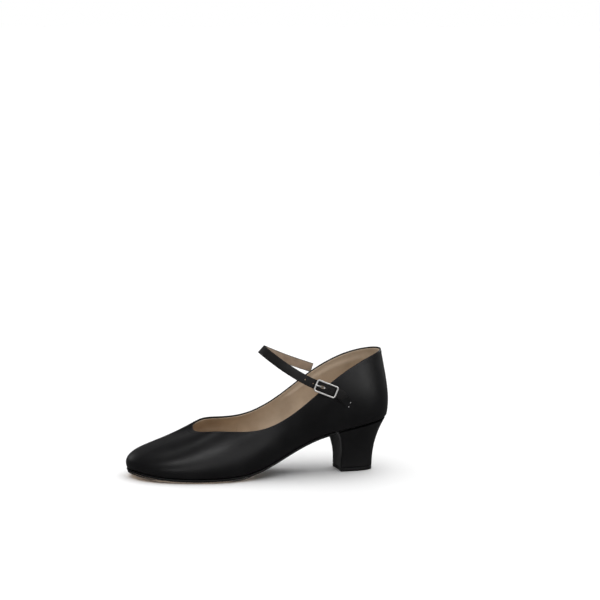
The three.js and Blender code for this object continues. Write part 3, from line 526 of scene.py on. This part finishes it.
def stitches(name, path, out, material, body, length=1.9, gap=0.75, radius=0.2, sink=0.1):
    """A row of separate stitches along a line of points, each bowed up from the surface, as one piece."""
    lengths = lengths_along(path)
    count = max(1, int(lengths[-1] // (length + gap)))
    pitch = lengths[-1] / count
    points, faces = [], []
    rings, sides = 7, 8
    turn = np.linspace(0, 2 * math.pi, sides, endpoint=False)
    for k in range(count):
        q = np.linspace(0, 1, rings)
        d = (k + 0.5) * pitch + (q - 0.5) * length
        centre, up = at_lengths(d, lengths, path), unit(at_lengths(d, lengths, out))
        along = unit(np.gradient(centre, axis=0))
        side = np.cross(up, along)
        arch = np.sin(math.pi * q) ** 0.6
        centre = centre + up * ((arch - 1) * radius * 1.3 - sink + radius)[:, None]
        size = radius * (0.45 + 0.55 * np.sin(math.pi * np.clip(q, 0.04, 0.96)) ** 0.4)
        ring = centre[:, None] + size[:, None, None] * (
            np.cos(turn)[None, :, None] * side[:, None] + np.sin(turn)[None, :, None] * up[:, None]
        )
        start = len(points) * rings * sides
        points.append(ring.reshape(-1, 3))
        faces += grid_faces(rings, sides, wrap_cols=True, start=start)
        faces += [list(range(first, first + sides)) for first in (start, start + (rings - 1) * sides)]
    return dress(make_object(name, np.concatenate(points), faces), material, body)


# ---------------------------------------------------------------- upper
S = np.linspace(0, AROUND, 420, endpoint=False)
SEAM_LEVEL = [0.962]


def make_upper():
    """From the lasting edge round the corner, up the wall, over the topline and down the inside."""
    rows = [margin(S, inset, 0) for inset in (10, 7, 4.5)]
    start = wall(S, [0])[0]
    for a in np.linspace(0.15, math.pi / 2, 7)[:-1]:
        inset, rise = CORNER_RISE * (1 - math.sin(a)), CORNER_RISE * (1 - math.cos(a))
        pull = (1 - math.cos(a)) * (start - margin(S, 0, CORNER_RISE))
        rows.append(margin(S, inset, rise) + pull)
    heights = np.linspace(0, 1, 60)
    rows += list(wall(S, heights))
    half = UPPER_THICK / 2
    centre = in_wall(S, [1], half)[0]
    out, up = (v[0] for v in wall_normal(S, [1]))
    for a in np.linspace(0, math.pi, 9)[1:-1]:
        rows.append(centre + half * (math.cos(a) * out + math.sin(a) * up))
    rows += list(in_wall(S, heights[::-3], UPPER_THICK))
    rows += [margin(S, 2.2, 1.7), margin(S, 4.5, UPPER_THICK), margin(S, 10, UPPER_THICK)]
    dress(skin("upper", np.array(rows), True, True, sharp=60), BLACK, "shoe", ["upper"])
    s = np.linspace(0, AROUND, 900)
    seam = in_wall(s, SEAM_LEVEL, -0.02)[0]
    stitches("topline_stitching", seam, wall_normal(s, SEAM_LEVEL)[0][0], THREAD, "shoe", 1.7, 0.7, 0.17)


# first and last station, and height, of the two stiffeners
PUFF = (-3.6, 3.6, 0.62)
COUNTER = (6.6, 13.4, 0.82)


def lining_depth(s, t):
    """How far inside the upper's outer face the lining lies: deeper over a stiffener."""
    near = np.where(s > 0.75 * AROUND, s - AROUND, s)[None]
    t = np.asarray(t, float)[:, None]
    cover = 0
    for first, last, high in (PUFF, COUNTER):
        sides = np.minimum(near - first, last - near) / 0.7
        cover = np.maximum(cover, smoothstep(-1, -0.12, sides) * smoothstep(-1, -0.15, (high - t) / 0.12))
    return UPPER_THICK + GAP + (STIFFENER_THICK + GAP) * cover


def make_lining(name, first, last, cad):
    s, t = np.linspace(first, last, 200), np.linspace(0.1, 0.985, 46)
    depth = lining_depth(s, t)
    outer, inner = in_wall(s, t, depth), in_wall(s, t, depth + LINING_THICK)
    top = (outer[-1] + inner[-1]) / 2
    up = wall_normal(s, [0.985])[1][0]
    half = LINING_THICK / 2
    out = outer[-1] - top
    rolled = [top + out * math.cos(a) + up * half * math.sin(a) for a in (0.8, math.pi / 2, 2.34)]
    # inset and rise of the lasting edge, which turns in over the board and under the sock
    turned_in = ((3.4, 4.75), (4.4, 4.42), (6.5, 4.32), (6.5, 3.87), (4.2, 3.95), (2.6, 4.6))
    lip = [margin(s, inset, rise) for inset, rise in turned_in]
    grid = np.concatenate([outer, rolled, inner[::-1], lip])
    dress(skin(name, grid, wrap_rows=True, sharp=60), LINING, "shoe", [cad])
    seal_ends(bpy.data.objects[name])


def seal_ends(obj):
    bm = bmesh.new()
    bm.from_mesh(obj.data)
    bmesh.ops.holes_fill(bm, edges=[e for e in bm.edges if e.is_boundary], sides=0)
    bmesh.ops.recalc_face_normals(bm, faces=bm.faces)
    bm.to_mesh(obj.data)
    bm.free()
    obj.data.set_sharp_from_angle(angle=math.radians(60))


# ---------------------------------------------------------------- bottom and inside
BOARD_HIGH = UPPER_THICK + GAP + BOARD_THICK
FOLD_ROOM = 0.5  # for the lasting edges between board and sock
SOCK_LOW = BOARD_HIGH + FOLD_ROOM + 2 * GAP
LOOP = np.linspace(0, AROUND, 500, endpoint=False)
SEAT_FROM = 7.0  # station at the buckle side where the heel begins
PAD_CENTRE = np.array([215.0, 0.0])
PAD_SEAM = 0.875  # places on the pad are shares of the way from its centre to its edge
PAD_ROUND_FROM = 0.93
PAD_BORDER_THICK = 0.75


def signed_power(values, power):
    return np.sign(values) * np.abs(values) ** power


def make_sock():
    sock = plate("sock_lining", feather(LOOP, SOCK_INSET), SOCK_LOW, SOCK_LOW + SOCK_THICK, 0.3, on_sole, 4.0)
    dress(sock, SOCK, "shoe", ["sock_lining"])


def make_heel_pad():
    """A soft cushion inside a stitched border."""
    low = SOCK_LOW + SOCK_THICK + GAP
    a = np.linspace(0, 2 * math.pi, 160, endpoint=False)
    reach = np.stack([18.5 * signed_power(np.cos(a), 0.72), 17 * signed_power(np.sin(a), 0.8)], -1)
    rows = []
    border_places = [0.86, PAD_SEAM, 0.89, PAD_ROUND_FROM, 0.965, 0.985, 1.0]
    for k in [*np.linspace(0.02, 0.84, 26), *border_places]:
        q = PAD_CENTRE + reach * k
        crown = (PAD_THICK - 0.7) * np.cos(k / PAD_SEAM * math.pi / 2) ** 0.7 if k < PAD_SEAM else 0
        past = max(0, (k - PAD_ROUND_FROM) / (1 - PAD_ROUND_FROM))
        border = PAD_BORDER_THICK * math.sqrt(max(0, 1 - past**2))
        seam = 0.3 * math.exp(-(((k - PAD_SEAM) / 0.012) ** 2))
        rows.append(on_sole(q[:, 0], q[:, 1], low + border + crown - seam))
    for k in (0.97, 0.5, 0.02):
        q = PAD_CENTRE + reach * k
        rows.append(on_sole(q[:, 0], q[:, 1], low))
    pad = skin("heel_pad", np.array(rows), wrap_cols=True, caps=True, sharp=80)
    dress(pad, SOCK, "shoe", ["heel_pad"])
    ring = PAD_CENTRE + reach * 0.905
    ring = np.concatenate([ring, ring[:1]])
    path = on_sole(ring[:, 0], ring[:, 1], low + PAD_BORDER_THICK + 0.01)
    up = np.tile([0.0, 0.0, 1.0], (len(path), 1))
    stitches("heel_pad_stitching", path, up, TAN_THREAD, "shoe", 1.9, 0.8, 0.18)


def heel_fibres(sides=110, across=36):
    """Where each line down the heel starts at the seat and ends on the lift, and which are on the breast."""
    q = np.linspace(0, 1, sides)
    seat = margin(SEAT_FROM + (AROUND - 2 * SEAT_FROM) * q, SEAT_INSET, -GAP)
    turn = math.pi * q
    # the outline on the lift: a rounded half, flat at the breast
    floor = np.stack([
        196.6 + 33.2 * np.sin(turn) ** 0.75,
        -1.5 - 13.5 * signed_power(np.cos(turn), 0.7),
        np.full(sides, LIFT_THICK + GAP),
    ], -1)
    k = np.linspace(0, 1, across)[1:-1, None]
    bow = np.sin(math.pi * k[:, 0])
    line = seat[-1] + (seat[0] - seat[-1]) * k
    breast = on_sole(line[:, 0] + BREAST_HOLLOW * bow, line[:, 1], -GAP)
    foot = floor[-1] + (floor[0] - floor[-1]) * k
    foot[:, 0] += 0.8 * bow
    on_breast = np.arange(sides + across - 2) >= sides
    return np.concatenate([seat, breast]), np.concatenate([floor, foot]), on_breast


SEAT, FLOOR, ON_BREAST = heel_fibres()
SWEEP = np.where(ON_BREAST, 7.0, 2.2)  # the higher, the closer to the seat the heel flares out


def heel_ring(w, inset):
    """The heel's outline at a share w of the way from the lift to the seat, moved in by inset."""
    k = np.stack([w**SWEEP, w**SWEEP, np.full(len(SWEEP), w)], -1)
    ring = FLOOR + (SEAT - FLOOR) * k
    for _ in range(3):
        ring = (np.roll(ring, 1, 0) + 2 * ring + np.roll(ring, -1, 0)) / 4
    closer = np.where(ON_BREAST, 0.3, 1)[:, None]  # the breast fits close to the CAD's
    ring[:, :2] = offset_loop(ring[:, :2], inset * closer)
    return ring


def on_floor(u, y, rise):
    return np.stack([u, y, rise], -1)


def make_heel():
    rows = [heel_ring(0.0, 0.9), heel_ring(0.0, 0.35), heel_ring(0.004, 0.08), heel_ring(0.014, 0)]
    rows += [heel_ring(w, 0) for w in np.linspace(0.03, 0.96, 44)]
    painted_shade_from = len(rows) - 1  # the last row before the edge turns in to the seat
    rows += [heel_ring(0.972, 0.08), heel_ring(0.984, 0.35), heel_ring(0.994, 0.9), heel_ring(1.0, 1.5)]
    rows += [heel_ring(w, 1.0) for w in (0.95, 0.7, 0.45, 0.2, 0.05, 0.0)]
    cover = skin("heel_cover", np.array(rows), True, True, sharp=50)
    dress(cover, HEEL_BLACK, "shoe", ["heel_cover"])

    # painted shade: the top rows of the heel's sides, up to the seat, are drawn near-black and dull for the
    # shade in the groove under the upper
    def in_groove(face):
        row, column = divmod(face.index, len(SEAT))
        return row >= painted_shade_from and not ON_BREAST[column]

    face_material(cover, SEAT_PAINTED_SHADE, in_groove)
    loop = heel_ring(0.0, 0.15)[:, :2]
    lift = plate("top_lift", loop, 0.0, LIFT_THICK, 0.3, on_floor, 2.5)
    dress(lift, SOLE_BLACK, "shoe", ["top_lift"])
    face_material(lift, LIFT, lambda face: face.normal.z < -0.9)


def make_outsole():
    s = np.linspace(-SEAT_FROM + 0.03, SEAT_FROM - 0.03, 420)
    edge = feather(s, OUTSOLE_INSET)
    k = np.linspace(0, 1, 40)[1:-1, None]
    back = edge[0] + (edge[-1] - edge[0]) * k[::-1]
    back[:, 0] += 0.15 + BREAST_HOLLOW * np.sin(math.pi * k[:, 0])
    sole = plate("outsole", np.concatenate([edge, back]), -GAP - OUTSOLE_THICK, -GAP, 0.5, on_sole)
    dress(sole, SOLE_BLACK, "shoe", ["outsole"])


GROOVE_PITCH = 6.4  # from one groove of the tread to the next


def make_tread():
    """The sheet follows the sole round the toe and ends in the waist in half an ellipse, from turn to end."""
    end, turn, half, middle = 120.0, 78.0, 41.0, -1.0
    s = np.linspace(0, 6, 400)
    a = np.linspace(math.pi / 2, 0, 240)
    sides = []
    for sign, stations in ((-1, s), (1, AROUND - s)):
        edge = feather(stations, TREAD_INSET)
        arc = np.stack([turn + (end - turn) * np.cos(a), middle + sign * half * np.sin(a)], -1)
        keep = np.abs(arc[:, 1]) < np.abs(np.interp(arc[:, 0], edge[:, 0], edge[:, 1]))
        first = int(np.argmax(keep & (np.arange(len(a)) > 3)))
        edge = edge[edge[:, 0] < arc[first, 0] - 0.3]
        sides.append(np.concatenate([edge, arc[first:]]))
    loop = np.concatenate([sides[0], sides[1][::-1][1:-1]])
    lower = -2 * GAP - OUTSOLE_THICK
    tread = plate("forepart_tread", loop, lower - TREAD_THICK, lower, 0.35, on_sole, 1.3)
    u, y, z = from_row([v.co for v in tread.data.vertices]).T
    # each groove runs in from both edges and bends to the toe in the middle, more so nearer the toe
    near, far = (np.interp(u, edge[:, 0], edge[:, 1]) for edge in sides)
    across = np.clip(np.abs(y - (near + far) / 2) / np.maximum(np.abs(far - near) / 2, 1), 0, 1)
    bend = 15 + 27 * np.clip((88 - u) / 68, 0, 1)
    line = u + bend * 0.5 * (1 + np.cos(math.pi * across)) + 1.1 * np.sin(y / 4.6 + 0.6)
    depth = sole_height(u) + lower - z
    in_arc = turn + np.hypot(u - turn, (y - middle) * (end - turn) / half)
    # the edge is drawn black all round the toe and in the waist; the grooves end at the smooth patch
    fields = {
        "edge_dark": 1 - depth / TREAD_THICK + smoothstep(24, 12, u) + smoothstep(78, 96, u),
        "groove": line / GROOVE_PITCH,
        "cut": smoothstep(90, 88.5, line),
        "rim": 0.55 * smoothstep(end - 7.5, end - 3.5, in_arc) * (u >= turn),
    }
    for key, values in fields.items():
        tread.data.attributes.new(key, "FLOAT", "POINT").data.foreach_set("value", values.astype(np.float32))
    dress(tread, TREAD, "shoe", ["forepart_tread"])
    face_material(tread, TREAD_EDGE, lambda face: abs(face.normal.z) < 0.6)


# ---------------------------------------------------------------- strap
STRAP_SPANS = len(STRAP_LINE) - 3
STRAP_P = np.linspace(0, STRAP_SPANS, 4001)
STRAP_D = lengths_along(spline(STRAP_LINE, STRAP_P)[:, :3])
STRAP_D -= np.interp(2.0, STRAP_P, STRAP_D)  # the bar is at two spans, where d is 0
ROOT = STRAP_D[-1] - 0.5


def strap_frames(d):
    """Origins and axes at lengths d from the bar: along the strap, to its front edge, and outwards."""
    p = np.interp(d, STRAP_D, STRAP_P)
    here = spline(STRAP_LINE, p)
    ahead, behind = (spline(STRAP_LINE, np.clip(p + e, 0, STRAP_SPANS - 1e-6))[:, :3] for e in (0.02, -0.02))
    along = unit(ahead - behind)
    width = here[:, 3:]
    width = unit(width - along * np.sum(width * along, 1, keepdims=True))
    return here[:, :3], along, width, np.cross(along, width)


# heights over the bar's axis
TAB_OVER_BAR = BAR_RADIUS + BAR_CLEARANCE + TAB_LAYER
STRAP_OVER_BAR = TAB_OVER_BAR + 0.25
STRAP_TOP = STRAP_OVER_BAR + BACKING_THICK + LAYER_GAP + STRAP_THICK
RAIL_LOW = STRAP_TOP + 0.7
UNDER_STRAP, ALONG_STRAP, ALONG_BAR, OUTWARDS = (v[0] for v in strap_frames(np.array([0.0])))
BUCKLE_ORIGIN = UNDER_STRAP - OUTWARDS * STRAP_OVER_BAR


def in_buckle(points):
    """Points of the buckle's frame: x along the strap from the bar, y along the bar, z outwards."""
    points = np.asarray(points, float)
    x, y, z = points[..., :1], points[..., 1:2], points[..., 2:3]
    return BUCKLE_ORIGIN + x * ALONG_STRAP + y * ALONG_BAR + z * OUTWARDS


def strap_half(d, width):
    """Half the width of a band with a round tail."""
    past = np.clip(1 - (d + TAIL_LENGTH) / (width / 2), 0, 1)
    return np.maximum(0.5, width / 2 * np.sqrt(1 - past**2))


def strap_surface(d, y, z):
    o, _, w, n = strap_frames(np.atleast_1d(d))
    return o + w * np.reshape(y, (-1, 1)) + n * np.reshape(z, (-1, 1))


def make_band(name, low, high, width, start, end, radius, material, cad):
    tail = start + (1 - np.cos(np.linspace(0, math.pi / 2, 18))) * width / 2
    d = np.concatenate([tail, np.linspace(start + width / 2, end, 230)[1:]])
    section = rounded_section(strap_half(d, width), low, high, radius)
    o, _, w, n = strap_frames(d)
    grid = o[:, None] + section[..., :1] * w[:, None] + section[..., 1:] * n[:, None]
    band = skin(name, grid, wrap_cols=True, caps=True, sharp=50)
    cutters = [strap_hole(HOLE_MIDDLE + k * HOLE_PITCH, HOLE_RADIUS, HOLE_RADIUS) for k in (-2, -1, 1, 2)]
    cutters.append(strap_hole(2.8, 2.7, 1.2))  # the prong's slot
    dress(carve(band, cutters), material, "strap", [cad])


def strap_hole(d, half_length, half_width):
    a = np.linspace(0, 2 * math.pi, 28, endpoint=False)
    o, x, w, n = (v[0] for v in strap_frames(np.array([d])))
    stretch = half_length - half_width
    ring = np.stack([half_width * np.cos(a) + stretch * np.sign(np.cos(a)), half_width * np.sin(a)], -1)
    rows = [o + ring[:, :1] * x + ring[:, 1:] * w + n * z for z in (-3, 5)]
    return skin("cutter", np.array(rows), wrap_cols=True, caps=True)


def make_strap():
    outer = BACKING_THICK + LAYER_GAP
    top = outer + STRAP_THICK
    make_band("strap", outer, top, STRAP_WIDTH, -TAIL_LENGTH, ROOT, 0.32, STRAP_BLACK, "strap")
    make_band("strap_backing", 0, BACKING_THICK, STRAP_WIDTH - 1, 0.5 - TAIL_LENGTH, ROOT - 0.5, 0.2,
              SUEDE_BACK, "strap_backing")
    seam = STRAP_WIDTH / 2 - 1.05  # from the middle of the strap
    turn = STRAP_WIDTH / 2 - TAIL_LENGTH  # where the round tail begins
    tail = np.linspace(-math.pi / 2, math.pi / 2, 24)
    side = np.linspace(ROOT - 1.2, turn, 200)
    d = np.concatenate([side, turn - seam * np.cos(tail), np.linspace(turn, ROOT - 1.2, 200)])
    y = np.concatenate([np.full(200, -seam), seam * np.sin(tail), np.full(200, seam)])
    path = strap_surface(d, y, np.full(len(d), top))
    stitches("strap_stitching", path, strap_frames(d)[3], THREAD, "strap", 1.8, 0.7, 0.17)
    for i, back in enumerate((1.1, 2.3)):
        d = np.full(30, ROOT - back)
        path = strap_surface(d, np.linspace(-seam, seam, 30), np.full(30, top))
        stitches(f"strap_root_stitching_{i + 1}", path, strap_frames(d)[3], THREAD, "strap", 1.3, 0.25, 0.24)


# ---------------------------------------------------------------- buckle
def rounded_path(length, width, radius, per_corner=16, per_side=24):
    """A closed rectangle with round corners, from the end of its first side."""
    a, b = length / 2 - radius, width / 2 - radius
    points = []
    for quarter, (cx, cy) in enumerate(((a, b), (-a, b), (-a, -b), (a, -b))):
        t = np.radians(90 * quarter + np.linspace(0, 90, per_corner))
        points.append(np.stack([cx + radius * np.cos(t), cy + radius * np.sin(t)], -1))
    filled = []
    for i, corner in enumerate(points):
        nxt = points[(i + 1) % 4][0]
        k = np.linspace(0, 1, per_side)[1:-1, None]
        filled += [corner, corner[-1] + (nxt - corner[-1]) * k]
    return np.concatenate(filled)


FRAME_LENGTH = 21.0  # between the middles of the rails, as the width
FRAME_WIDTH = 10.3
BAR_HALF = 5.1


def make_frame():
    """Four rails, a bar under their middle, and a post at each end of the bar."""
    path = rounded_path(FRAME_LENGTH, FRAME_WIDTH, 1.9)
    d = unit(np.roll(path, -1, 0) - np.roll(path, 1, 0))
    side = np.stack([d[:, 1], -d[:, 0]], -1)
    section = rounded_section(0.75, RAIL_LOW, RAIL_LOW + 1.4, 0.45, 6)[0]
    bow = 0.35 * (1 - (path[:, 0] / (FRAME_LENGTH / 2)) ** 2)
    grid = np.empty((len(path), len(section), 3))
    grid[..., :2] = path[:, None] + side[:, None] * section[None, :, :1]
    grid[..., 2] = section[None, :, 1] + bow[:, None]
    rim = skin("buckle_frame", in_buckle(grid), True, True, sharp=60)
    a = np.linspace(0, 2 * math.pi, 32, endpoint=False)
    circle = np.stack([BAR_RADIUS * np.cos(a), BAR_RADIUS * np.sin(a)], -1)
    bar = np.array([[(x, y, z) for x, z in circle] for y in np.linspace(-BAR_HALF, BAR_HALF, 12)])
    parts = [skin("bar", in_buckle(bar), wrap_cols=True, caps=True)]
    post = rounded_section(1.25, -0.5, 0.5, 0.35, 5)[0]
    widths = ((-0.62, 0.5), (-0.3, 0.75), (0.5, 0.9), (2.6, 1), (RAIL_LOW + 0.9, 1.05))  # by height
    for end in (-BAR_HALF, BAR_HALF):
        rows = np.array([[(x * k, end + y, z) for x, y in post] for z, k in widths])
        parts.append(skin("post", in_buckle(rows), wrap_cols=True, caps=True))
    dress(carve(rim, parts, "UNION", 40), NICKEL, "buckle", ["buckle_frame"])


def curve_through(points, count):
    """A smooth line through points (Catmull-Rom), as count points at even lengths."""
    points = np.asarray(points, float)
    ends = np.concatenate([[2 * points[0] - points[1]], points, [2 * points[-1] - points[-2]]])
    out = []
    for i in range(1, len(ends) - 2):
        t = np.linspace(0, 1, 40, endpoint=False)[:, None]
        p0, p1, p2, p3 = ends[i - 1 : i + 3]
        square = (2 * p0 - 5 * p1 + 4 * p2 - p3) * t**2
        cube = (3 * p1 - p0 - 3 * p2 + p3) * t**3
        out.append(0.5 * (2 * p1 + (p2 - p0) * t + square + cube))
    out = np.concatenate([*out, points[-1:]])
    lengths = lengths_along(out)
    return at_lengths(np.linspace(0, lengths[-1], count), lengths, out)


def make_prong():
    """A flat tongue from the bar through the strap to the rail, and a curl round the bar."""
    count, sides = 60, 24
    through = [(1.1, 0.3), (2.4, 1.5), (3.7, 3.3), (5.6, 5.2), (8, 6.25), (10.2, 6.55), (12.3, 6.3)]  # x, z
    line = curve_through(through, count)
    along = unit(np.gradient(line, axis=0))
    up = np.stack([-along[:, 1], along[:, 0]], -1)
    q = np.linspace(0, 1, count)
    wide = PRONG_WIDTH / 2 - 0.12 * q
    thick = 0.5 - 0.06 * q
    tip = np.sqrt(np.clip(1 - np.clip((q - 0.94) / 0.06, 0, 0.985) ** 2, 0, 1))
    a = np.linspace(0, 2 * math.pi, sides, endpoint=False)
    grid = np.empty((count, sides, 3))
    lift = (thick * tip)[:, None] * signed_power(np.sin(a), 0.75)
    grid[..., 0] = line[:, :1] + up[:, :1] * lift
    grid[..., 1] = (wide * tip)[:, None] * signed_power(np.cos(a), 0.6)
    grid[..., 2] = line[:, 1:] + up[:, 1:] * lift
    tongue = skin("buckle_prong", in_buckle(grid), wrap_cols=True, caps=True, sharp=50)
    turn = np.linspace(0, 2 * math.pi, 48, endpoint=False)
    section = rounded_section(PRONG_WIDTH / 2, -0.32, 0.32, 0.2, 4)[0]
    ring = np.empty((len(turn), len(section), 3))
    radius = 1.18 + section[None, :, 1]
    ring[..., 0] = radius * np.cos(turn)[:, None]
    ring[..., 1] = section[None, :, 0]
    ring[..., 2] = radius * np.sin(turn)[:, None]
    curl = skin("curl", in_buckle(ring), True, True, sharp=50)
    dress(carve(tongue, [curl], "UNION", 40), NICKEL, "prong", ["buckle_prong"])


def bend_tab(points):
    """The tab's curve along the foot, behind the buckle."""
    back = np.minimum(0, points[..., 0] + 3)
    bent = np.array(points, float)
    bent[..., 1] += 0.0085 * back**2
    bent[..., 2] -= 0.004 * back**2
    return bent


def make_tab():
    """A strip folded round the bar and sewn to itself, with a slot for the prong and a bore for the bar."""
    low, half = -TAB_OVER_BAR, STRAP_WIDTH / 2 - 0.25
    top = low + 2 * TAB_LAYER
    a = np.linspace(-math.pi / 2, math.pi / 2, 24)
    nose = TAB_OVER_BAR * np.stack([np.cos(a), np.sin(a)], -1)
    under = np.stack([np.linspace(-TAB_LENGTH, 0, 52)[:-1], np.full(51, low)], -1)
    over = np.stack([np.linspace(0, -TAB_LENGTH, 60)[1:], np.full(59, 0.0)], -1)
    over[:, 1] = top + (TAB_OVER_BAR - top) * smoothstep(-5.2, -0.4, over[:, 0])
    loop = np.concatenate([under, nose, over])
    if area_of(loop) < 0:
        loop = loop[::-1]
    rows = []
    round_from = 0.93
    for y in [-1, -0.985, -0.96, -round_from, *np.linspace(-0.88, 0.88, 15), round_from, 0.96, 0.985, 1]:
        edge = max(0, abs(y) - round_from) / (1 - round_from)
        q = offset_loop(loop, 0.25 * (1 - math.sqrt(max(0, 1 - edge * edge))))
        past = np.clip((3.5 - TAB_LENGTH - q[:, 0]) / 3.5, 0, 1)
        rows.append(np.stack([q[:, 0], y * half * np.sqrt(1 - 0.8 * past**2), q[:, 1]], -1))
    tab = skin("buckle_tab", np.array(rows), wrap_cols=True, caps=True, sharp=40)
    ring = np.linspace(0, 2 * math.pi, 32, endpoint=False)
    hole = BAR_RADIUS + BAR_CLEARANCE
    bore = np.array([[(hole * math.cos(t), y, hole * math.sin(t)) for t in ring] for y in (-8, 8)])
    corners = ((-2.2, -1.2), (3.8, -1.2), (3.8, 1.2), (-2.2, 1.2))
    box = np.array([[(x, y, z) for x, y in corners] for z in (-3, 3)])
    carve(tab, [skin("bore", bore, wrap_cols=True, caps=True), skin("slot", box, wrap_cols=True, caps=True)])
    flat = from_row([v.co for v in tab.data.vertices])
    tab.data.vertices.foreach_set("co", to_row(in_buckle(bend_tab(flat))).ravel())
    tab.data.update()
    dress(tab, BLACK, "strap", ["buckle_tab"])

    def sew(name, x, y, *thread):
        path = in_buckle(bend_tab(np.stack([x, y, np.full(len(x), top)], -1)))
        stitches(name, path, np.tile(OUTWARDS, (len(x), 1)), *thread)

    for i, y in enumerate((1 - half, half - 1)):
        x = np.linspace(-8, 1.4 - TAB_LENGTH, 60)
        sew(f"tab_stitching_{i + 1}", x, np.full(60, y), THREAD, "strap", 1.7, 0.6, 0.17)
    # painted highlight: the two knots at the tab's end are real, and their pale grey colour stands in for the
    # glint they catch
    for i, y in enumerate((-2, 2)):
        x = 1.0 - TAB_LENGTH + np.linspace(-0.1, 0.1, 8)
        sew(f"tab_knot_{i + 1}", x, y + np.linspace(-0.7, 0.7, 8), KNOT_GLINT_THREAD, "strap", 1.3, 0.1, 0.34, 0.05)


make_upper()
make_lining("vamp_lining", -4.605, 4.59, "vamp_lining")
make_lining("quarter_lining", 4.6, AROUND - 4.615, "quarter_lining")
make_sock()
make_heel_pad()
make_heel()
make_outsole()
make_tread()
make_strap()
make_frame()
make_prong()
make_tab()

# the solids that stay as they are: steel, but for these
CARRIED = {
    "toe_puff": CANVAS,
    "heel_counter": CANVAS,
    "insole_board": BOARD,
    "forepart_filler": CORK,
    "heel_block": PLASTIC,
}
for name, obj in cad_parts.items():
    if not obj.hide_render:
        obj.data.materials.clear()
        obj.data.materials.append(CARRIED.get(name, STEEL))
        obj.data.set_sharp_from_angle(angle=math.radians(35))

# ---------------------------------------------------------------- camera, floor and light
YAW, PITCH, ROLL = math.radians(15), math.radians(13), math.radians(0.7)
DISTANCE = 2.6
turn = Matrix.Rotation(-ROLL, 3, "Y")
back = turn @ Vector((-math.sin(YAW) * math.cos(PITCH), -math.cos(YAW) * math.cos(PITCH), math.sin(PITCH)))
right = turn @ Vector((math.cos(YAW), -math.sin(YAW), 0))
up = back.cross(right)
near = Vector(to_row([62, -35, 0]))  # the outer edge of the sole under the ball
aim = near + right * 0.0856 + up * 0.1655  # so that it is seen low and left, as in the photo
camera = bpy.data.objects.new("camera", bpy.data.cameras.new("camera"))
camera.location = near + back * DISTANCE
camera.rotation_mode = "QUATERNION"
view = (camera.location - aim).normalized()
side = up.cross(view).normalized()
camera.rotation_quaternion = Matrix((side, view.cross(side), view)).transposed().to_quaternion()
camera.data.sensor_width = 36
camera.data.lens = 173
bpy.context.scene.collection.objects.link(camera)
bpy.context.scene.camera = camera

floor_mesh = bpy.data.meshes.new("floor")
floor_corners = [(x, y, -0.0002) for x, y in ((-6, -6), (6, -6), (6, 6), (-6, 6))]
floor_mesh.from_pydata(floor_corners, [], [(0, 1, 2, 3)])
floor = bpy.data.objects.new("floor", floor_mesh)
bpy.context.scene.collection.objects.link(floor)
FLOOR_MAT = surface("pale_floor", (0.95, 0.95, 0.95), (0.955, 0.955, 0.955), 3, (0.55, 0.65),
                    [("noise", 400, 0.02, 1)])
floor.data.materials.append(FLOOR_MAT)
floor.visible_glossy = False

# white behind the object, and a dim room round it for reflections and as light
world = bpy.data.worlds.new("studio")
world.use_nodes = True
tree = world.node_tree
seen = node(tree, "LightPath").outputs["Is Camera Ray"]
tree.links.new(span(tree, seen, 0.15, 1.0, 0, 1), tree.nodes["Background"].inputs["Strength"])
tree.nodes["Background"].inputs["Color"].default_value = (1, 1, 1, 1)
bpy.context.scene.world = world
bpy.context.scene.view_settings.view_transform = "Standard"


def lamp(name, kind, place, target, power, gloss=True, diffuse=True, **settings):
    light = bpy.data.lights.new(name, kind)
    light.energy = power
    for key, value in settings.items():
        setattr(light, key, value)
    obj = bpy.data.objects.new(name, light)
    obj.location = place
    obj.rotation_mode = "QUATERNION"
    obj.rotation_quaternion = (Vector(target) - Vector(place)).to_track_quat("-Z", "Y")
    obj.visible_glossy, obj.visible_diffuse = gloss, diffuse
    bpy.context.scene.collection.objects.link(obj)


def panel(name, place, target, power, width, height, diffuse=False):
    """A rectangular lamp that shows in reflections, and by default only there."""
    lamp(name, "AREA", place, target, power, diffuse=diffuse, shape="RECTANGLE", size=width, size_y=height)


# the sun gives the light without a highlight, the panels give the highlights
MIDDLE, TOE, ANKLE = (0, 0, 0.05), (-0.05, 0, 0.03), (0.07, 0, 0.07)
lamp("overhead", "SUN", (0, 0, 3), (0, 0, 0), 3.3, gloss=False, angle=math.radians(100))
panel("key", (-0.38, -1.2, 1.12), TOE, 14, 0.9, 0.3)
panel("low", (-0.6, -1.4, 0.1), TOE, 3, 0.8, 0.3)
panel("front", (0.2, -1.45, 0.42), MIDDLE, 8, 1.3, 0.8)
panel("right", (1.1, -1.1, 0.3), ANKLE, 6, 0.6, 0.4)
panel("side", (1.3, -0.75, 0.75), ANKLE, 4, 0.4, 0.7)
panel("rear", (0.6, 1.5, 0.9), MIDDLE, 1.2, 0.9, 0.4, diffuse=True)
panel("rear_left", (-0.8, 1.4, 0.6), MIDDLE, 1.2, 0.8, 0.5)
panel("rear_right", (1.5, 0.7, 0.6), MIDDLE, 12, 0.5, 0.5)
panel("above", (0, 0.1, 1.8), MIDDLE, 12, 1.0, 0.5)
